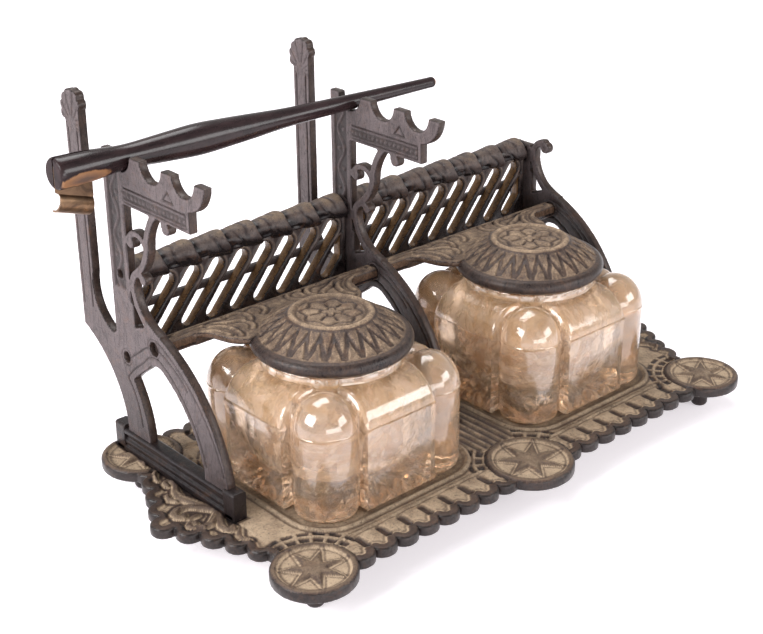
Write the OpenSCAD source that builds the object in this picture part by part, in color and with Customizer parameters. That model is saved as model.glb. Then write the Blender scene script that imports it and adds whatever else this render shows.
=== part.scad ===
// Cast-iron double inkstand in the form of a garden bench, with two hinged lids,
// two pressed-glass wells and a penholder lying in the rack.
// Origin: centre of the whole footprint, on the table. X runs along the bench, +Y is the back.

/* [Stand] */
// Distance between neighbouring end frames
bay_w = 100; // [96:1:104]
// Height of the tray's top above the table
tray_h = 13; // [11:0.5:15]
// Thickness of the tray
tray_t = 3.2; // [3:0.1:4]
// Distance between the front and back rows of medallions
tray_d = 98; // [96:1:102]
// Radius of the four corner medallions
corner_r = 14.4; // [13:0.2:15]
// Radius of the two middle medallions
middle_r = 16; // [15:0.2:17]
// Radius of each scallop along the front and back
scallop_r = 5.2; // [5:0.1:5.4]

/* [Frames] */
// Thickness of each end frame
frame_t = 3.5; // [3:0.1:4.5]
// Height of the foot bar under each frame
bar_h = 9; // [8:0.5:10]
// Height of the pen rack's prongs above the tray
rack_z = 115.5; // [112:0.5:120]
// Radius of the pen notches
notch_r = 6; // [5.6:0.1:6.2]
// Distance between neighbouring pen notches
notch_pitch = 18.1; // [17.5:0.1:19]
// Height of the tall rear posts above the tray
post_z = 131.6; // [128:0.2:136]

/* [Lids] */
// Outer radius of each lid
lid_r = 28.6; // [27:0.2:29]
// Height of the lid's top disc above its rim's lower edge
lid_h = 12.9; // [12:0.1:13.4]
// Radius of the hinge spigots
spigot_r = 2.45; // [2.2:0.05:2.45]

/* [Glass wells] */
// Distance from the middle of a well to each flat panel
well_half = 36; // [35:0.5:36.5]
// Width of each flat panel
panel_w = 31; // [28:0.5:32]
// Radius of the corner columns
column_r = 11.1; // [10:0.1:11.5]
// Height of the straight walls
wall_h = 31; // [28:0.5:33]
// Height of the well's mouth
mouth_h = 45.1; // [44.5:0.1:45.2]

/* [Penholder] */
// Length of the penholder
pen_len = 168; // [160:1:172]
// Thickness of the brass flange
flange_t = 0.7; // [0.6:0.05:0.9]

/* [Hidden] */
$fn = 64;

// The tall posts lean out behind, so the tray's middle lies in front of the origin
tray_y = -7.5;
// Inner half width of a bay, between the faces of its two frames
bay_half = (bay_w - frame_t) / 2;
// Room left where a moving casting passes a fixed one
gap = 0.3;

// Tray
medal_y = tray_d / 2;
scallops = 8;
scallop_pitch = 9.5;
scallop_y = medal_y + 2.8;
flank_lobe_r = 4.7;
flank_lobes = 4;
flank_x = 104.5;
apex_x = 120.3;
flank_mid_y = 5;
lobe_pitch = 8.1;
ring_w = 2.2;
ring_h = 0.9;
star_h = 0.7;
lip_h = 0.8;
lip_w = 1.8;
lip_gap = 1.4;
peg_r = 3.3;

// Frame heights and positions, measured from the tray's middle and from the tray's top
bar_front = -10.5;
bar_back = 61;
pilaster_front = 45;
pilaster_back = 56.3;
post_front = 68.8;
post_back = 77.9;
first_notch_y = 45.2;
rack_bottom = 97.8;
strap_w = 2.9;
pivot_y = 32.7;
pivot_z = 48.5;
pivot_hole_r = spigot_r + 0.05;
panel_y = 50.5;
roll_z = 71;
low_pin_z = 39.3;
roll_pin_r = 1.5;
low_pin_r = 1.9;
pin_gap = 0.05;
pin_depth = 1.6;
bench_top = 73.5;
bar_w = 5.4;
bar_end_l = 6;
bar_end_h = 1.5;
seat_gap = 0.2;

// Back panels
roll_r = 5.1;
roll_bands = 9;
slat_pitch = 10.75;
slat_w = 2.8;
slat_d = 5;
slat_lean = 34;
low_rail_z = 36.5;
low_rail_h = 6;
mid_rail_z = 52.5;

// Screws under the tray
screw_ys = [-2, 31];
screw_r = 1.45;
screw_hole_r = 1.6;
screw_depth = 6;
screw_head_r = 3;
screw_head_h = 1.8;

// Wells
dome_h = 12;
column_in = 12.3;
neck_r = 26;
neck_base = wall_h + 10;

// Lids
lid_bottom = mouth_h + 0.3;
rim_r = 2.6;
disc_r = 15.4;
bar_half = bay_half - gap;
hinge_bar_w = 5.6;
hinge_bar_h = 5;
neck_h = 2.6;

// Penholder
pen_waist = [26, 4];
pen_rest_gap = 0.3;
pen_stations = [[0, 5.1], [1, 5.5], [12, 5.4], [26, 4], [40, 4.8], [56, 5.7], [74, 4.75], [95, 3.4],
    [126, 2.8], [150, 2.3], [164, 2.1]];
pen_tip_r = 2.1;
slot_len = 14;
flange_l = 13.6;
flange_slope = 17;
pen_y = first_notch_y;
notch_floor = rack_z - notch_r;

// Points on the circle through a, b and c, from a to c in n steps
function arc3(a, b, c, n = 10) =
    let (
        d = 2 * (a[0] * (b[1] - c[1]) + b[0] * (c[1] - a[1]) + c[0] * (a[1] - b[1])),
        aa = a * a,
        bb = b * b,
        cc = c * c,
        ux = (aa * (b[1] - c[1]) + bb * (c[1] - a[1]) + cc * (a[1] - b[1])) / d,
        uy = (aa * (c[0] - b[0]) + bb * (a[0] - c[0]) + cc * (b[0] - a[0])) / d,
        r = norm(a - [ux, uy]),
        t0 = atan2(a[1] - uy, a[0] - ux),
        tb = atan2(b[1] - uy, b[0] - ux),
        tc = atan2(c[1] - uy, c[0] - ux),
        ccw = (tb - t0 + 720) % 360 < (tc - t0 + 720) % 360,
        sweep = ccw ? (tc - t0 + 720) % 360 : -((t0 - tc + 720) % 360)
    )
    [for (i = [0:n]) [ux + r * cos(t0 + sweep * i / n), uy + r * sin(t0 + sweep * i / n)]];

// Unit normal of a path at point i
function path_normal(p, i) =
    let (
        q = p[min(i + 1, len(p) - 1)] - p[max(i - 1, 0)],
        l = norm(q)
    )
    [-q[1] / l, q[0] / l];

// Outline of a strap of width w laid along a path
function strap(p, w) = concat(
    [for (i = [0:len(p) - 1]) p[i] + path_normal(p, i) * w / 2],
    [for (i = [len(p) - 1:-1:0]) p[i] - path_normal(p, i) * w / 2]);

// Smooth value between the stations of a turned profile
function smooth_step(t) = t * t * (3 - 2 * t);
function turned_r(st, s, i = 0) =
    (i >= len(st) - 2 || s <= st[i + 1][0])
        ? st[i][1] + (st[i + 1][1] - st[i][1])
            * smooth_step(max(0, min(1, (s - st[i][0]) / (st[i + 1][0] - st[i][0]))))
        : turned_r(st, s, i + 1);

// Height of the penholder's axis above the tray where it lies in a notch
pen_left_z = notch_floor + pen_waist[1] + pen_rest_gap;
pen_mid_z = notch_floor + turned_r(pen_stations, pen_waist[0] + bay_w) + pen_rest_gap;
pen_tilt = atan((pen_left_z - pen_mid_z) / bay_w);

// Places a child at a point given from the tray's middle and its top
module on_tray(x, y = 0, z = 0) {
    translate([x, tray_y + y, tray_h + z]) children();
}

// Turns a drawing of the side view (y across, z up) into a plate centred on x = 0
module side_plate(t) {
    rotate([90, 0, 90]) linear_extrude(t, center = true) children();
}

// ---- Tray ----

module scallop_row(side) {
    for (i = [0:scallops - 1]) {
        x = bay_w / 2 + (i - (scallops - 1) / 2) * scallop_pitch;
        translate([x, side * scallop_y]) circle(scallop_r, $fn = 32);
        translate([-x, side * scallop_y]) circle(scallop_r, $fn = 32);
    }
}

module flank_lobe_row(side) {
    for (i = [-flank_lobes:flank_lobes]) {
        k = abs(i) / flank_lobes;
        x = flank_x + (apex_x - flank_x) * pow(1 - k, 1.2);
        translate([side * x, flank_mid_y + i * lobe_pitch]) circle(flank_lobe_r, $fn = 32);
    }
}

module tray_outline() {
    square([2 * flank_x + 2, 2 * scallop_y], center = true);
    half = flank_lobes * lobe_pitch;
    translate([0, flank_mid_y]) {
        polygon([[-flank_x, -half], [-apex_x, 0], [-flank_x, half],
            [flank_x, half], [apex_x, 0], [flank_x, -half]]);
    }
    for (side = [-1, 1]) {
        scallop_row(side);
        flank_lobe_row(side);
    }
}

module star(r, points) {
    polygon([for (i = [0:2 * points - 1])
        let (a = 90 + 180 * i / points, q = i % 2 == 0 ? r : 0.42 * r)
        [q * cos(a), q * sin(a)]]);
}

module medallion(r) {
    translate([0, 0, -tray_t]) cylinder(h = tray_t, r = r);
    difference() {
        cylinder(h = ring_h, r = r);
        translate([0, 0, -1]) cylinder(h = ring_h + 2, r = r - ring_w);
    }
    linear_extrude(star_h) star(r - ring_w - 0.6, 7);
}

module well_ring(grow) {
    half = well_half + grow;
    r = column_r + 2 + grow;
    square([2 * half, 2 * (half - r)], center = true);
    square([2 * (half - r), 2 * half], center = true);
    for (sx = [-1, 1]) {
        for (sy = [-1, 1]) {
            translate([sx * (half - r), sy * (half - r)]) circle(r);
        }
    }
}

module well_lip() {
    linear_extrude(lip_h) difference() {
        well_ring(lip_gap + lip_w);
        well_ring(lip_gap);
    }
}

module base_tray() {
    color("#7a6b52") on_tray(0) {
        difference() {
            union() {
                translate([0, 0, -tray_t]) linear_extrude(tray_t) tray_outline();
                for (side = [-1, 1]) {
                    translate([0, side * medal_y, 0]) medallion(middle_r);
                    for (end = [-1, 1]) {
                        translate([end * bay_w, side * medal_y, 0]) medallion(corner_r);
                    }
                    translate([side * bay_w / 2, 0, 0]) well_lip();
                }
            }
            for (x = [-bay_w, 0, bay_w]) {
                for (y = screw_ys) {
                    translate([x, y, -tray_t - 1]) cylinder(h = tray_t + 2, r = screw_hole_r);
                }
                translate([x - bar_w / 2 - seat_gap, bar_front - seat_gap, 0]) {
                    cube([bar_w + 2 * seat_gap, bar_back - bar_front + 2 * seat_gap, ring_h + 1]);
                }
            }
        }
    }
}

module foot(side_x, side_y) {
    color("#2f2a26") translate([side_x * bay_w, tray_y + side_y * medal_y, 0]) {
        cylinder(h = 1, r1 = peg_r - 0.6, r2 = peg_r);
        translate([0, 0, 1]) cylinder(h = tray_h - tray_t - 1, r = peg_r);
    }
}

// ---- End frames ----

// Arm, crossing plate and both legs, with the arched window between the legs
module bench_end() {
    difference() {
        polygon(concat(
            [[-6.5, bar_h - 3]],
            arc3([-6.5, 12], [5.5, 36.7], [30.5, 54.7], 14),
            [[37.5, 58.2], [pilaster_front, 62.5], [pilaster_back, 62.5], [pilaster_back, 43]],
            arc3([pilaster_back, 43], [55.4, 27], [53.5, 12], 6),
            [[53.5, bar_h - 3]]));
        polygon(concat(
            [[7, bar_h - 4]],
            arc3([7, 11.5], [13.5, 27], [26.5, 40], 8),
            arc3([26.5, 40], [32, 42], [37.5, 39], 4),
            [[44, 34.2], [47, 31.5]],
            arc3([47, 31.5], [42, 22], [39.5, 11.5], 6),
            [[39.5, bar_h - 4]]));
        polygon([[36.5, 55.6], [43.6, 53], [43.6, 61.6], [41.6, 60.4]]);
    }
    translate([pilaster_front, 50]) square([pilaster_back - pilaster_front, bench_top - 50]);
}

// Path of the strap that rises from the arm
function strap_root() = arc3([29, 52.8], [39.6, 59.2], [43.4, 68.5], 8);

module rising_strap() {
    polygon(strap(concat(strap_root(),
        arc3([43.2, 70], [42.6, 72], [41, 73.6], 3),
        arc3([39.6, 74.8], [34.6, 80.4], [32.8, 87], 7),
        arc3([32.6, 88.6], [30.8, 93.4], [27, 98.6], 6)), strap_w));
    polygon(strap(arc3([33.2, 83.4], [38.4, 88.8], [43.8, 85.6], 12), 2.5));
    translate([42.8, 84.8]) circle(2.1, $fn = 32);
    polygon(strap(arc3([42.6, 71], [40, 74], [36.8, 73.4], 5), 2.2));
    translate([36.4, 72.8]) circle(1.9, $fn = 32);
}

module curled_strap() {
    polygon(strap(concat(strap_root(), arc3([43.2, 70], [41.6, 74.6], [37.6, 75.6], 6)), strap_w));
    translate([37.2, 73.9]) circle(2.3, $fn = 32);
}

// Pen rack: a beam on the pilaster with prongs between the notches
module pen_rack() {
    difference() {
        union() {
            translate([6.5, rack_bottom]) {
                square([pilaster_back - 6.5, rack_z - rack_bottom]);
            }
            polygon(concat(arc3([-3, rack_z], [-0.6, 109.5], [6.6, 105.2], 6), [[6.6, rack_z]]));
        }
        for (i = [0:2]) {
            translate([first_notch_y - i * notch_pitch, rack_z]) circle(notch_r);
        }
    }
    translate([20.4, 95.6]) circle(2.5, $fn = 32);
    translate([18.6, 95.4]) square([3.4, 3]);
}

// Rear leg sweeping back into the tall post, with a leaf-shaped head
module rear_post() {
    polygon(concat(
        [[45, bar_h - 3], [53.5, bar_h - 3]],
        arc3([53.5, 12], [62.3, 31.6], [post_back, 43.3], 10),
        [[post_back, post_z - 12.8], [post_back + 1.2, post_z - 12]],
        arc3([post_back + 1.9, post_z - 10.4], [post_back + 1.1, post_z - 4], [76.2, post_z - 1.4], 4),
        arc3([75.4, post_z - 0.8], [73, post_z], [70.8, post_z - 1.2], 3),
        arc3([70.2, post_z - 1.8], [69, post_z - 4], [post_front, post_z - 6.8], 3),
        [[post_front, 66]],
        arc3([post_front, 66], [66, 51.5], [58.6, 46.4], 8),
        [[56.4, 47.4], [56.2, 40], [48, 36]]));
}

module frame_holes() {
    translate([pivot_y, pivot_z]) circle(pivot_hole_r);
    translate([panel_y, roll_z]) circle(roll_pin_r + pin_gap, $fn = 32);
    translate([panel_y, low_pin_z]) circle(low_pin_r + pin_gap, $fn = 32);
}

module foot_bar() {
    length = bar_back - bar_front;
    difference() {
        union() {
            translate([-bar_w / 2, bar_front, 0]) cube([bar_w, length, 2.5]);
            translate([-bar_w / 2 + 0.5, bar_front, 0]) cube([bar_w - 1, length, bar_h]);
            translate([-bar_w / 2, bar_front, bar_h - 2.5]) cube([bar_w, length, 2.5]);
            for (y = [bar_front, bar_back - bar_end_l]) {
                translate([-bar_w / 2, y, 0]) cube([bar_w, bar_end_l, bar_h + bar_end_h]);
            }
        }
        for (y = screw_ys) {
            translate([0, y, -1]) cylinder(h = screw_depth + 1, r = screw_r + pin_gap);
        }
    }
}

module tall_frame(x) {
    color("#5b5154") on_tray(x) {
        side_plate(frame_t) difference() {
            union() {
                bench_end();
                rear_post();
                pen_rack();
                rising_strap();
                translate([pilaster_front, 60]) {
                    square([pilaster_back - pilaster_front, rack_bottom - 58]);
                }
            }
            frame_holes();
        }
        foot_bar();
    }
}

module short_frame(x) {
    color("#4a4446") on_tray(x) {
        side_plate(frame_t) difference() {
            union() {
                bench_end();
                curled_strap();
            }
            frame_holes();
        }
        foot_bar();
    }
}

module screw(x, y) {
    color("#6d6a66") on_tray(x, y) {
        difference() {
            union() {
                translate([0, 0, -tray_t]) cylinder(h = tray_t + screw_depth - 0.5, r = screw_r);
                translate([0, 0, -tray_t - screw_head_h]) {
                    cylinder(h = screw_head_h, r = screw_head_r);
                }
            }
            translate([-screw_head_r - 1, -0.4, -tray_t - screw_head_h - 1]) {
                cube([2 * screw_head_r + 2, 0.8, 1.8]);
            }
        }
    }
}

// ---- Back panels ----

// Roll of overlapping wraps, thick at one end of each wrap and thin at the other
module wrapped_roll() {
    length = 2 * (bay_half - 0.1);
    band = length / roll_bands;
    translate([-length / 2, 0, 0]) rotate([0, 90, 0]) rotate_extrude() {
        polygon(concat([[0, 0]],
            [for (i = [0:roll_bands - 1], end = [0, 1])
                [roll_r - 0.5 + 0.8 * end, (i + 0.97 * end) * band]],
            [[roll_r - 0.5, length], [0, length]]));
    }
}

module slats() {
    rise = roll_z - low_rail_z;
    intersection() {
        for (i = [-1:8]) {
            x = -43 + slat_pitch * i;
            translate([x, 0, low_rail_z + 7]) rotate([0, slat_lean, 0]) {
                translate([-slat_w / 2, -slat_d / 2, -12]) cube([slat_w, slat_d, 2 * rise]);
            }
        }
        translate([-bay_half + 0.7, -slat_d, low_rail_z + 2.2]) {
            cube([2 * bay_half - 1.4, 2 * slat_d, rise - 3.9]);
        }
    }
}

module panel_pins(z, r) {
    for (side = [-1, 1]) {
        translate([side * (bay_half + pin_depth / 2 - 1), 0, z]) rotate([0, 90, 0]) {
            cylinder(h = pin_depth + 2, r = r, center = true, $fn = 32);
        }
    }
}

module back_panel(x) {
    color("#5a4a3a") on_tray(x, panel_y) {
        translate([0, 0, roll_z]) wrapped_roll();
        slats();
        translate([-bay_half + 0.1, -3, low_rail_z]) cube([2 * bay_half - 0.2, 6, low_rail_h]);
        translate([-bay_half + 0.9, 1, mid_rail_z]) cube([2 * bay_half - 1.8, 3, 3.6]);
        for (side = [-1, 1]) {
            translate([side * (bay_half - 1.8) - 1.5, -slat_d / 2 - 0.2, low_rail_z + 1]) {
                cube([3, slat_d + 0.4, roll_z - low_rail_z - 2]);
            }
        }
        panel_pins(roll_z, roll_pin_r);
        panel_pins(low_pin_z, low_pin_r);
    }
}

// ---- Lids ----

module lid_dome() {
    top = lid_bottom + lid_h;
    rotate_extrude($fn = 96) difference() {
        polygon(concat(
            [[0, lid_bottom]],
            arc3([lid_r - rim_r, lid_bottom], [lid_r, lid_bottom + rim_r],
                [lid_r - rim_r, lid_bottom + 2 * rim_r], 10),
            arc3([lid_r - 3, lid_bottom + 2 * rim_r - 0.4], [22, lid_bottom + 7.8],
                [disc_r + 1.4, top - 1.6], 6),
            [[disc_r, top - 0.4], [disc_r - 0.8, top], [disc_r - 2, top], [disc_r - 2.8, top - 0.8],
                [5, top - 0.8], [3, top], [0, top]]));
        polygon(concat(
            [[0, lid_bottom - 1], [lid_r - 4.6, lid_bottom - 1], [lid_r - 4.6, lid_bottom + 2]],
            arc3([lid_r - 5, lid_bottom + 3], [19, lid_bottom + 6], [11, top - 4.4], 5),
            [[0, top - 4.4]]));
    }
}

// Hinge bar seen from above, widening in an S-curve to the neck that meets the dome
module hinge_bar_plan() {
    front = pivot_y - hinge_bar_w / 2;
    side = concat(
        arc3([37.5, front], [34, front - 1.6], [31.6, front - 6], 5),
        arc3([31, front - 8], [28.8, 17], [24.6, 13.4], 5));
    difference() {
        polygon(concat(
            [[bar_half, pivot_y + hinge_bar_w / 2], [bar_half, front]],
            side,
            [for (i = [len(side) - 1:-1:0]) [-side[i][0], side[i][1]]],
            [[-bar_half, front], [-bar_half, pivot_y + hinge_bar_w / 2]]));
        circle(lid_r - 4);
    }
}

module lid(x) {
    color("#6f6048") on_tray(x) {
        difference() {
            lid_dome();
            translate([-50, pivot_y - hinge_bar_w / 2, lid_bottom - 5]) cube([100, 20, 30]);
        }
        translate([0, 0, pivot_z + hinge_bar_h / 2 - neck_h]) {
            linear_extrude(neck_h) hinge_bar_plan();
        }
        translate([-bar_half, pivot_y - hinge_bar_w / 2, pivot_z - hinge_bar_h / 2]) {
            cube([2 * bar_half, hinge_bar_w, hinge_bar_h]);
        }
        for (side = [-1, 1]) {
            translate([side * (bay_half + pin_depth - 2), pivot_y, pivot_z]) rotate([0, 90, 0]) {
                cylinder(h = 4, r = spigot_r, center = true);
            }
        }
    }
}

// ---- Glass wells ----

module well_plan() {
    square([2 * well_half, panel_w], center = true);
    square([panel_w, 2 * well_half], center = true);
    square(2 * (well_half - 8), center = true);
    for (sx = [-1, 1]) {
        for (sy = [-1, 1]) {
            translate([sx * (well_half - column_in), sy * (well_half - column_in)]) circle(column_r);
        }
    }
}

module well_shoulders() {
    crown = wall_h + 11;
    for (a = [0:90:270]) {
        rotate([0, 0, a]) rotate([90, 0, 0]) linear_extrude(panel_w, center = true) {
            polygon(concat([[0, wall_h]], arc3([well_half, wall_h], [33, wall_h + 6.6],
                [25, crown], 8), [[0, crown]]));
        }
        rotate([0, 0, a]) translate([well_half - column_in, well_half - column_in, wall_h]) {
            rotate_extrude() polygon(concat([[0, 0]],
                [for (i = [0:8]) [column_r * cos(i * 11.25), dome_h * sin(i * 11.25)]]));
        }
    }
    translate([0, 0, wall_h]) cylinder(h = 11, r = 28);
}

module well_bowl() {
    rotate_extrude($fn = 96) polygon(concat(
        [[0, 6]],
        arc3([16, 6], [24.6, 10.4], [27, 19], 6),
        arc3([27, 30], [25.4, 37], [20.5, 41.5], 5),
        [[20.5, mouth_h + 1], [0, mouth_h + 1]]));
}

module well(x) {
    color([0.86, 0.74, 0.6, 0.6]) on_tray(x) difference() {
        union() {
            linear_extrude(wall_h) well_plan();
            well_shoulders();
            translate([0, 0, neck_base]) cylinder(h = mouth_h - neck_base, r = neck_r);
        }
        well_bowl();
    }
}

// ---- Penholder ----

// Puts a child on the penholder's axis, with its left end at the origin and +X along it
module on_pen() {
    on_tray(-bay_w, pen_y, pen_left_z) rotate([0, pen_tilt, 0]) {
        translate([-pen_waist[0], 0, 0]) children();
    }
}

module pen_slot(extra) {
    translate([-1, -(flange_t + extra) / 2, -8]) cube([slot_len + 1, flange_t + extra, 16]);
}

module penholder() {
    body_end = pen_len - pen_tip_r;
    color("#241d1b") on_pen() difference() {
        rotate([0, 90, 0]) rotate_extrude($fn = 48) polygon(concat(
            [[0, 0]],
            [for (s = [0, 1]) [turned_r(pen_stations, s), s]],
            [for (s = [4:4:body_end]) [turned_r(pen_stations, s), s]],
            [for (i = [0:5]) [pen_tip_r * cos(i * 18), body_end + pen_tip_r * sin(i * 18)]]));
        pen_slot(0.1);
    }
}

// Brass flange: a tongue held in the slot, its sloping lower edge curled into an open gutter
module pen_flange() {
    drop = flange_l * tan(flange_slope);
    color("#9a7a45") on_pen() translate([0.2, 0, 0]) {
        rotate([90, 0, 0]) linear_extrude(flange_t, center = true) {
            polygon([[0, 2.5], [flange_l, 2.5], [flange_l, -6.9 - drop], [0, -6.9]]);
        }
        translate([1.4, 0, -7.1]) rotate([0, flange_slope, 0]) rotate([90, 0, 90]) {
            linear_extrude((flange_l - 1.4) / cos(flange_slope)) {
                polygon(strap(arc3([0, 0], [-1.7, -3], [1.8, -6], 8), flange_t));
            }
        }
    }
}

module left_frame() tall_frame(-bay_w);
module middle_frame() tall_frame(0);
module right_frame() short_frame(bay_w);
module left_back_panel() back_panel(-bay_w / 2);
module right_back_panel() back_panel(bay_w / 2);
module left_lid() lid(-bay_w / 2);
module right_lid() lid(bay_w / 2);
module left_well() well(-bay_w / 2);
module right_well() well(bay_w / 2);

base_tray();
foot(-1, -1);  // foot_front_left
foot(1, -1);  // foot_front_right
foot(-1, 1);  // foot_back_left
foot(1, 1);  // foot_back_right
left_frame();
middle_frame();
right_frame();
screw(-bay_w, screw_ys[0]);  // left_screw_front
screw(-bay_w, screw_ys[1]);  // left_screw_back
screw(0, screw_ys[0]);  // middle_screw_front
screw(0, screw_ys[1]);  // middle_screw_back
screw(bay_w, screw_ys[0]);  // right_screw_front
screw(bay_w, screw_ys[1]);  // right_screw_back
left_back_panel();
right_back_panel();
left_lid();
right_lid();
left_well();
right_well();
penholder();
pen_flange();
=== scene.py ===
import math
from functools import partialmethod

import bmesh
import bpy
import numpy as np
from mathutils import Matrix, Vector, kdtree
from numpy import (arange, array, clip, cos, exp, full, hypot, linspace, maximum, minimum, sin, sqrt, stack, vstack,
                   where)


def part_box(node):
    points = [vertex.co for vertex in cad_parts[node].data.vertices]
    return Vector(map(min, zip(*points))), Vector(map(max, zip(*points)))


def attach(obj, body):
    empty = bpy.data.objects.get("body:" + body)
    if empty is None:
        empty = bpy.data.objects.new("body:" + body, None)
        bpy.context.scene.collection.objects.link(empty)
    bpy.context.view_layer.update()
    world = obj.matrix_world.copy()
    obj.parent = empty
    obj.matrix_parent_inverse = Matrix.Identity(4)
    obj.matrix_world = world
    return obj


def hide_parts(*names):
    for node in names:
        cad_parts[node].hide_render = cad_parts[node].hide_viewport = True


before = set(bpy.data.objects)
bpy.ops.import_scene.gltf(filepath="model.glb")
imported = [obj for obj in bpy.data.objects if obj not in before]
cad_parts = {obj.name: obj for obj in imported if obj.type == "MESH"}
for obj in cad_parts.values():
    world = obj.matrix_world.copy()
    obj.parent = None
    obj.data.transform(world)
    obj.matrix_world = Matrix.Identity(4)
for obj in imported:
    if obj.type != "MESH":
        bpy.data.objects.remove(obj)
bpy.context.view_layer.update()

PI = math.pi

# ---------------------------------------------------------------- places, in mm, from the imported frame
# Plans are drawn with y back from the wells' middle and z up from the tray's top; a frame's plan is (y, z).
WELL_LO, WELL_HI = (array(c) * 1000 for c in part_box("right_well"))
TRAY_TOP = WELL_LO[2]
MID_Y = (WELL_LO[1] + WELL_HI[1]) / 2
BAY = WELL_LO[0] + WELL_HI[0]
FRAME_T = 3.5
BAY_HALF = (BAY - FRAME_T) / 2
TRAY_T = 3.2

PIVOT = (32.7, 48.5)
PANEL_Y = 50.5
ROLL_Z = 71.0
LOW_PIN_Z = 39.3
MOUTH = WELL_HI[2] - TRAY_TOP
LID_BOTTOM = MOUTH + 0.3
LID_R = 28.6
LID_H = 12.9
NOTCH_Y = (45.2, 27.1, 9.0)
RACK_Z = 115.5
POST_Z = 131.6
PILASTER = (45.0, 56.3)
PIL_MID, PIL_HALF = (PILASTER[0] + PILASTER[1]) / 2, (PILASTER[1] - PILASTER[0]) / 2
POST = (68.8, 77.9)
MEDALLION_Y = 49.0
MEDALLIONS = ([(s * BAY, t * MEDALLION_Y, 14.4) for s in (-1, 1) for t in (-1, 1)]
              + [(0.0, -MEDALLION_Y, 16.0), (0.0, MEDALLION_Y, 16.0)])


# ---------------------------------------------------------------- small maths
def circle(a, b, c):
    """Centre and radius of the circle through a, b and c."""
    (ax, ay), (bx, by), (cx, cy) = a, b, c
    d = 2 * (ax * (by - cy) + bx * (cy - ay) + cx * (ay - by))
    aa, bb, cc = ax * ax + ay * ay, bx * bx + by * by, cx * cx + cy * cy
    x = (aa * (by - cy) + bb * (cy - ay) + cc * (ay - by)) / d
    y = (aa * (cx - bx) + bb * (ax - cx) + cc * (bx - ax)) / d
    return x, y, math.hypot(ax - x, ay - y)


def arc3(a, b, c, n):
    """Points on the circle through a, b and c, from a to c."""
    cx, cy, r = circle(a, b, c)
    t0, tb, tc = (math.atan2(y - cy, x - cx) for x, y in (a, b, c))
    turn = 2 * PI
    ccw = (tb - t0) % turn < (tc - t0) % turn
    sweep = (tc - t0) % turn if ccw else -((t0 - tc) % turn)
    return [(cx + r * math.cos(t0 + sweep * i / n), cy + r * math.sin(t0 + sweep * i / n)) for i in range(n + 1)]


def turns(n):
    """n angles round a circle."""
    return arange(n) * 2 * PI / n


def seg(u, v, a, b):
    """Distance from every grid point to the segment ab."""
    ex, ey = b[0] - a[0], b[1] - a[1]
    t = clip(((u - a[0]) * ex + (v - a[1]) * ey) / max(ex * ex + ey * ey, 1e-12), 0, 1)
    return hypot(u - a[0] - t * ex, v - a[1] - t * ey)


def line(u, v, path):
    """Distance to an open path."""
    return np.minimum.reduce([seg(u, v, a, b) for a, b in zip(path[:-1], path[1:])])


def poly(u, v, pts):
    """Signed distance to a polygon, negative inside."""
    d = full(u.shape, 1e9)
    inside = np.zeros(u.shape, bool)
    for (ax, ay), (bx, by) in zip(pts, pts[1:] + pts[:1]):
        d = minimum(d, seg(u, v, (ax, ay), (bx, by)))
        if ay != by:
            inside ^= ((ay > v) != (by > v)) & (u < (bx - ax) * (v - ay) / (by - ay) + ax)
    return where(inside, -d, d)


def disc(u, v, x, y, r):
    return hypot(u - x, v - y) - r


def rect(u, v, x, y, hx, hy, r=0.0):
    """Signed distance to a rounded rectangle about (x, y)."""
    qx, qy = abs(u - x) - hx + r, abs(v - y) - hy + r
    return hypot(maximum(qx, 0), maximum(qy, 0)) + minimum(maximum(qx, qy), 0) - r


def join(*fields, k=0.5):
    """Union with a small fillet in the inner corners."""
    out = fields[0]
    for f in fields[1:]:
        h = maximum(k - abs(out - f), 0) / k
        out = minimum(out, f) - h * h * k / 4
    return out


def bump(q, w):
    """Rounded ridge: 1 where q is 0, 0 from w on."""
    t = clip(1 - (q / w) ** 2, 0, 1)
    return t * t


def step(x, lo, hi):
    t = clip((x - lo) / (hi - lo), 0, 1)
    return t * t * (3 - 2 * t)


def within(x, a, b, c, d):
    """Rises from 0 to 1 over a..b and falls back over c..d."""
    return step(x, a, b) * step(-x, -d, -c)


def rounded(d, r):
    """How far an edge rounded at radius r lies below the face, at distance d from the outline."""
    return r - sqrt(maximum(r * r - (r - minimum(d, r)) ** 2, 0))


def waves(u, v, seed=0.0):
    """Slow unevenness of a sand casting, about -1 to 1."""
    return (sin(0.31 * u + 1.7 * seed) * sin(0.27 * v + 0.6 + seed)
            + 0.6 * sin(0.83 * u - 0.52 * v + seed) + 0.4 * sin(1.9 * v + 1.3 * u + 2 * seed)) / 2


# ---------------------------------------------------------------- mesh building
def link(name, data):
    obj = bpy.data.objects.new(name, data)
    bpy.context.scene.collection.objects.link(obj)
    return obj


def make(name, points, faces, tone, smooth_angle=45):
    """One object from points in mm, with a tone for every point that its material reads."""
    mesh = bpy.data.meshes.new(name)
    mesh.from_pydata((points / 1000).tolist(), [], faces)
    mesh.update()
    attribute = mesh.attributes.new("tone", "FLOAT", "POINT")
    attribute.data.foreach_set("value", tone.astype(np.float32))
    bm = bmesh.new()
    bm.from_mesh(mesh)
    bmesh.ops.recalc_face_normals(bm, faces=bm.faces)
    bm.to_mesh(mesh)
    bm.free()
    mesh.polygons.foreach_set("use_smooth", np.ones(len(mesh.polygons), bool))
    mesh.set_sharp_from_angle(angle=math.radians(smooth_angle))
    return link(name, mesh)


class Parts:
    """Collects several pieces of mesh into one object."""

    def __init__(self):
        self.points, self.faces, self.tones, self.count = [], [], [], 0

    def add(self, points, faces, tone):
        points = np.asarray(points, float).reshape(-1, 3)
        self.points.append(points)
        self.faces += [[int(i) + self.count for i in f] for f in faces]
        self.tones.append(np.broadcast_to(np.asarray(tone, float), len(points)))
        self.count += len(points)

    def object(self, name, smooth_angle=45):
        return make(name, vstack(self.points), self.faces, np.concatenate(self.tones), smooth_angle)


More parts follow.
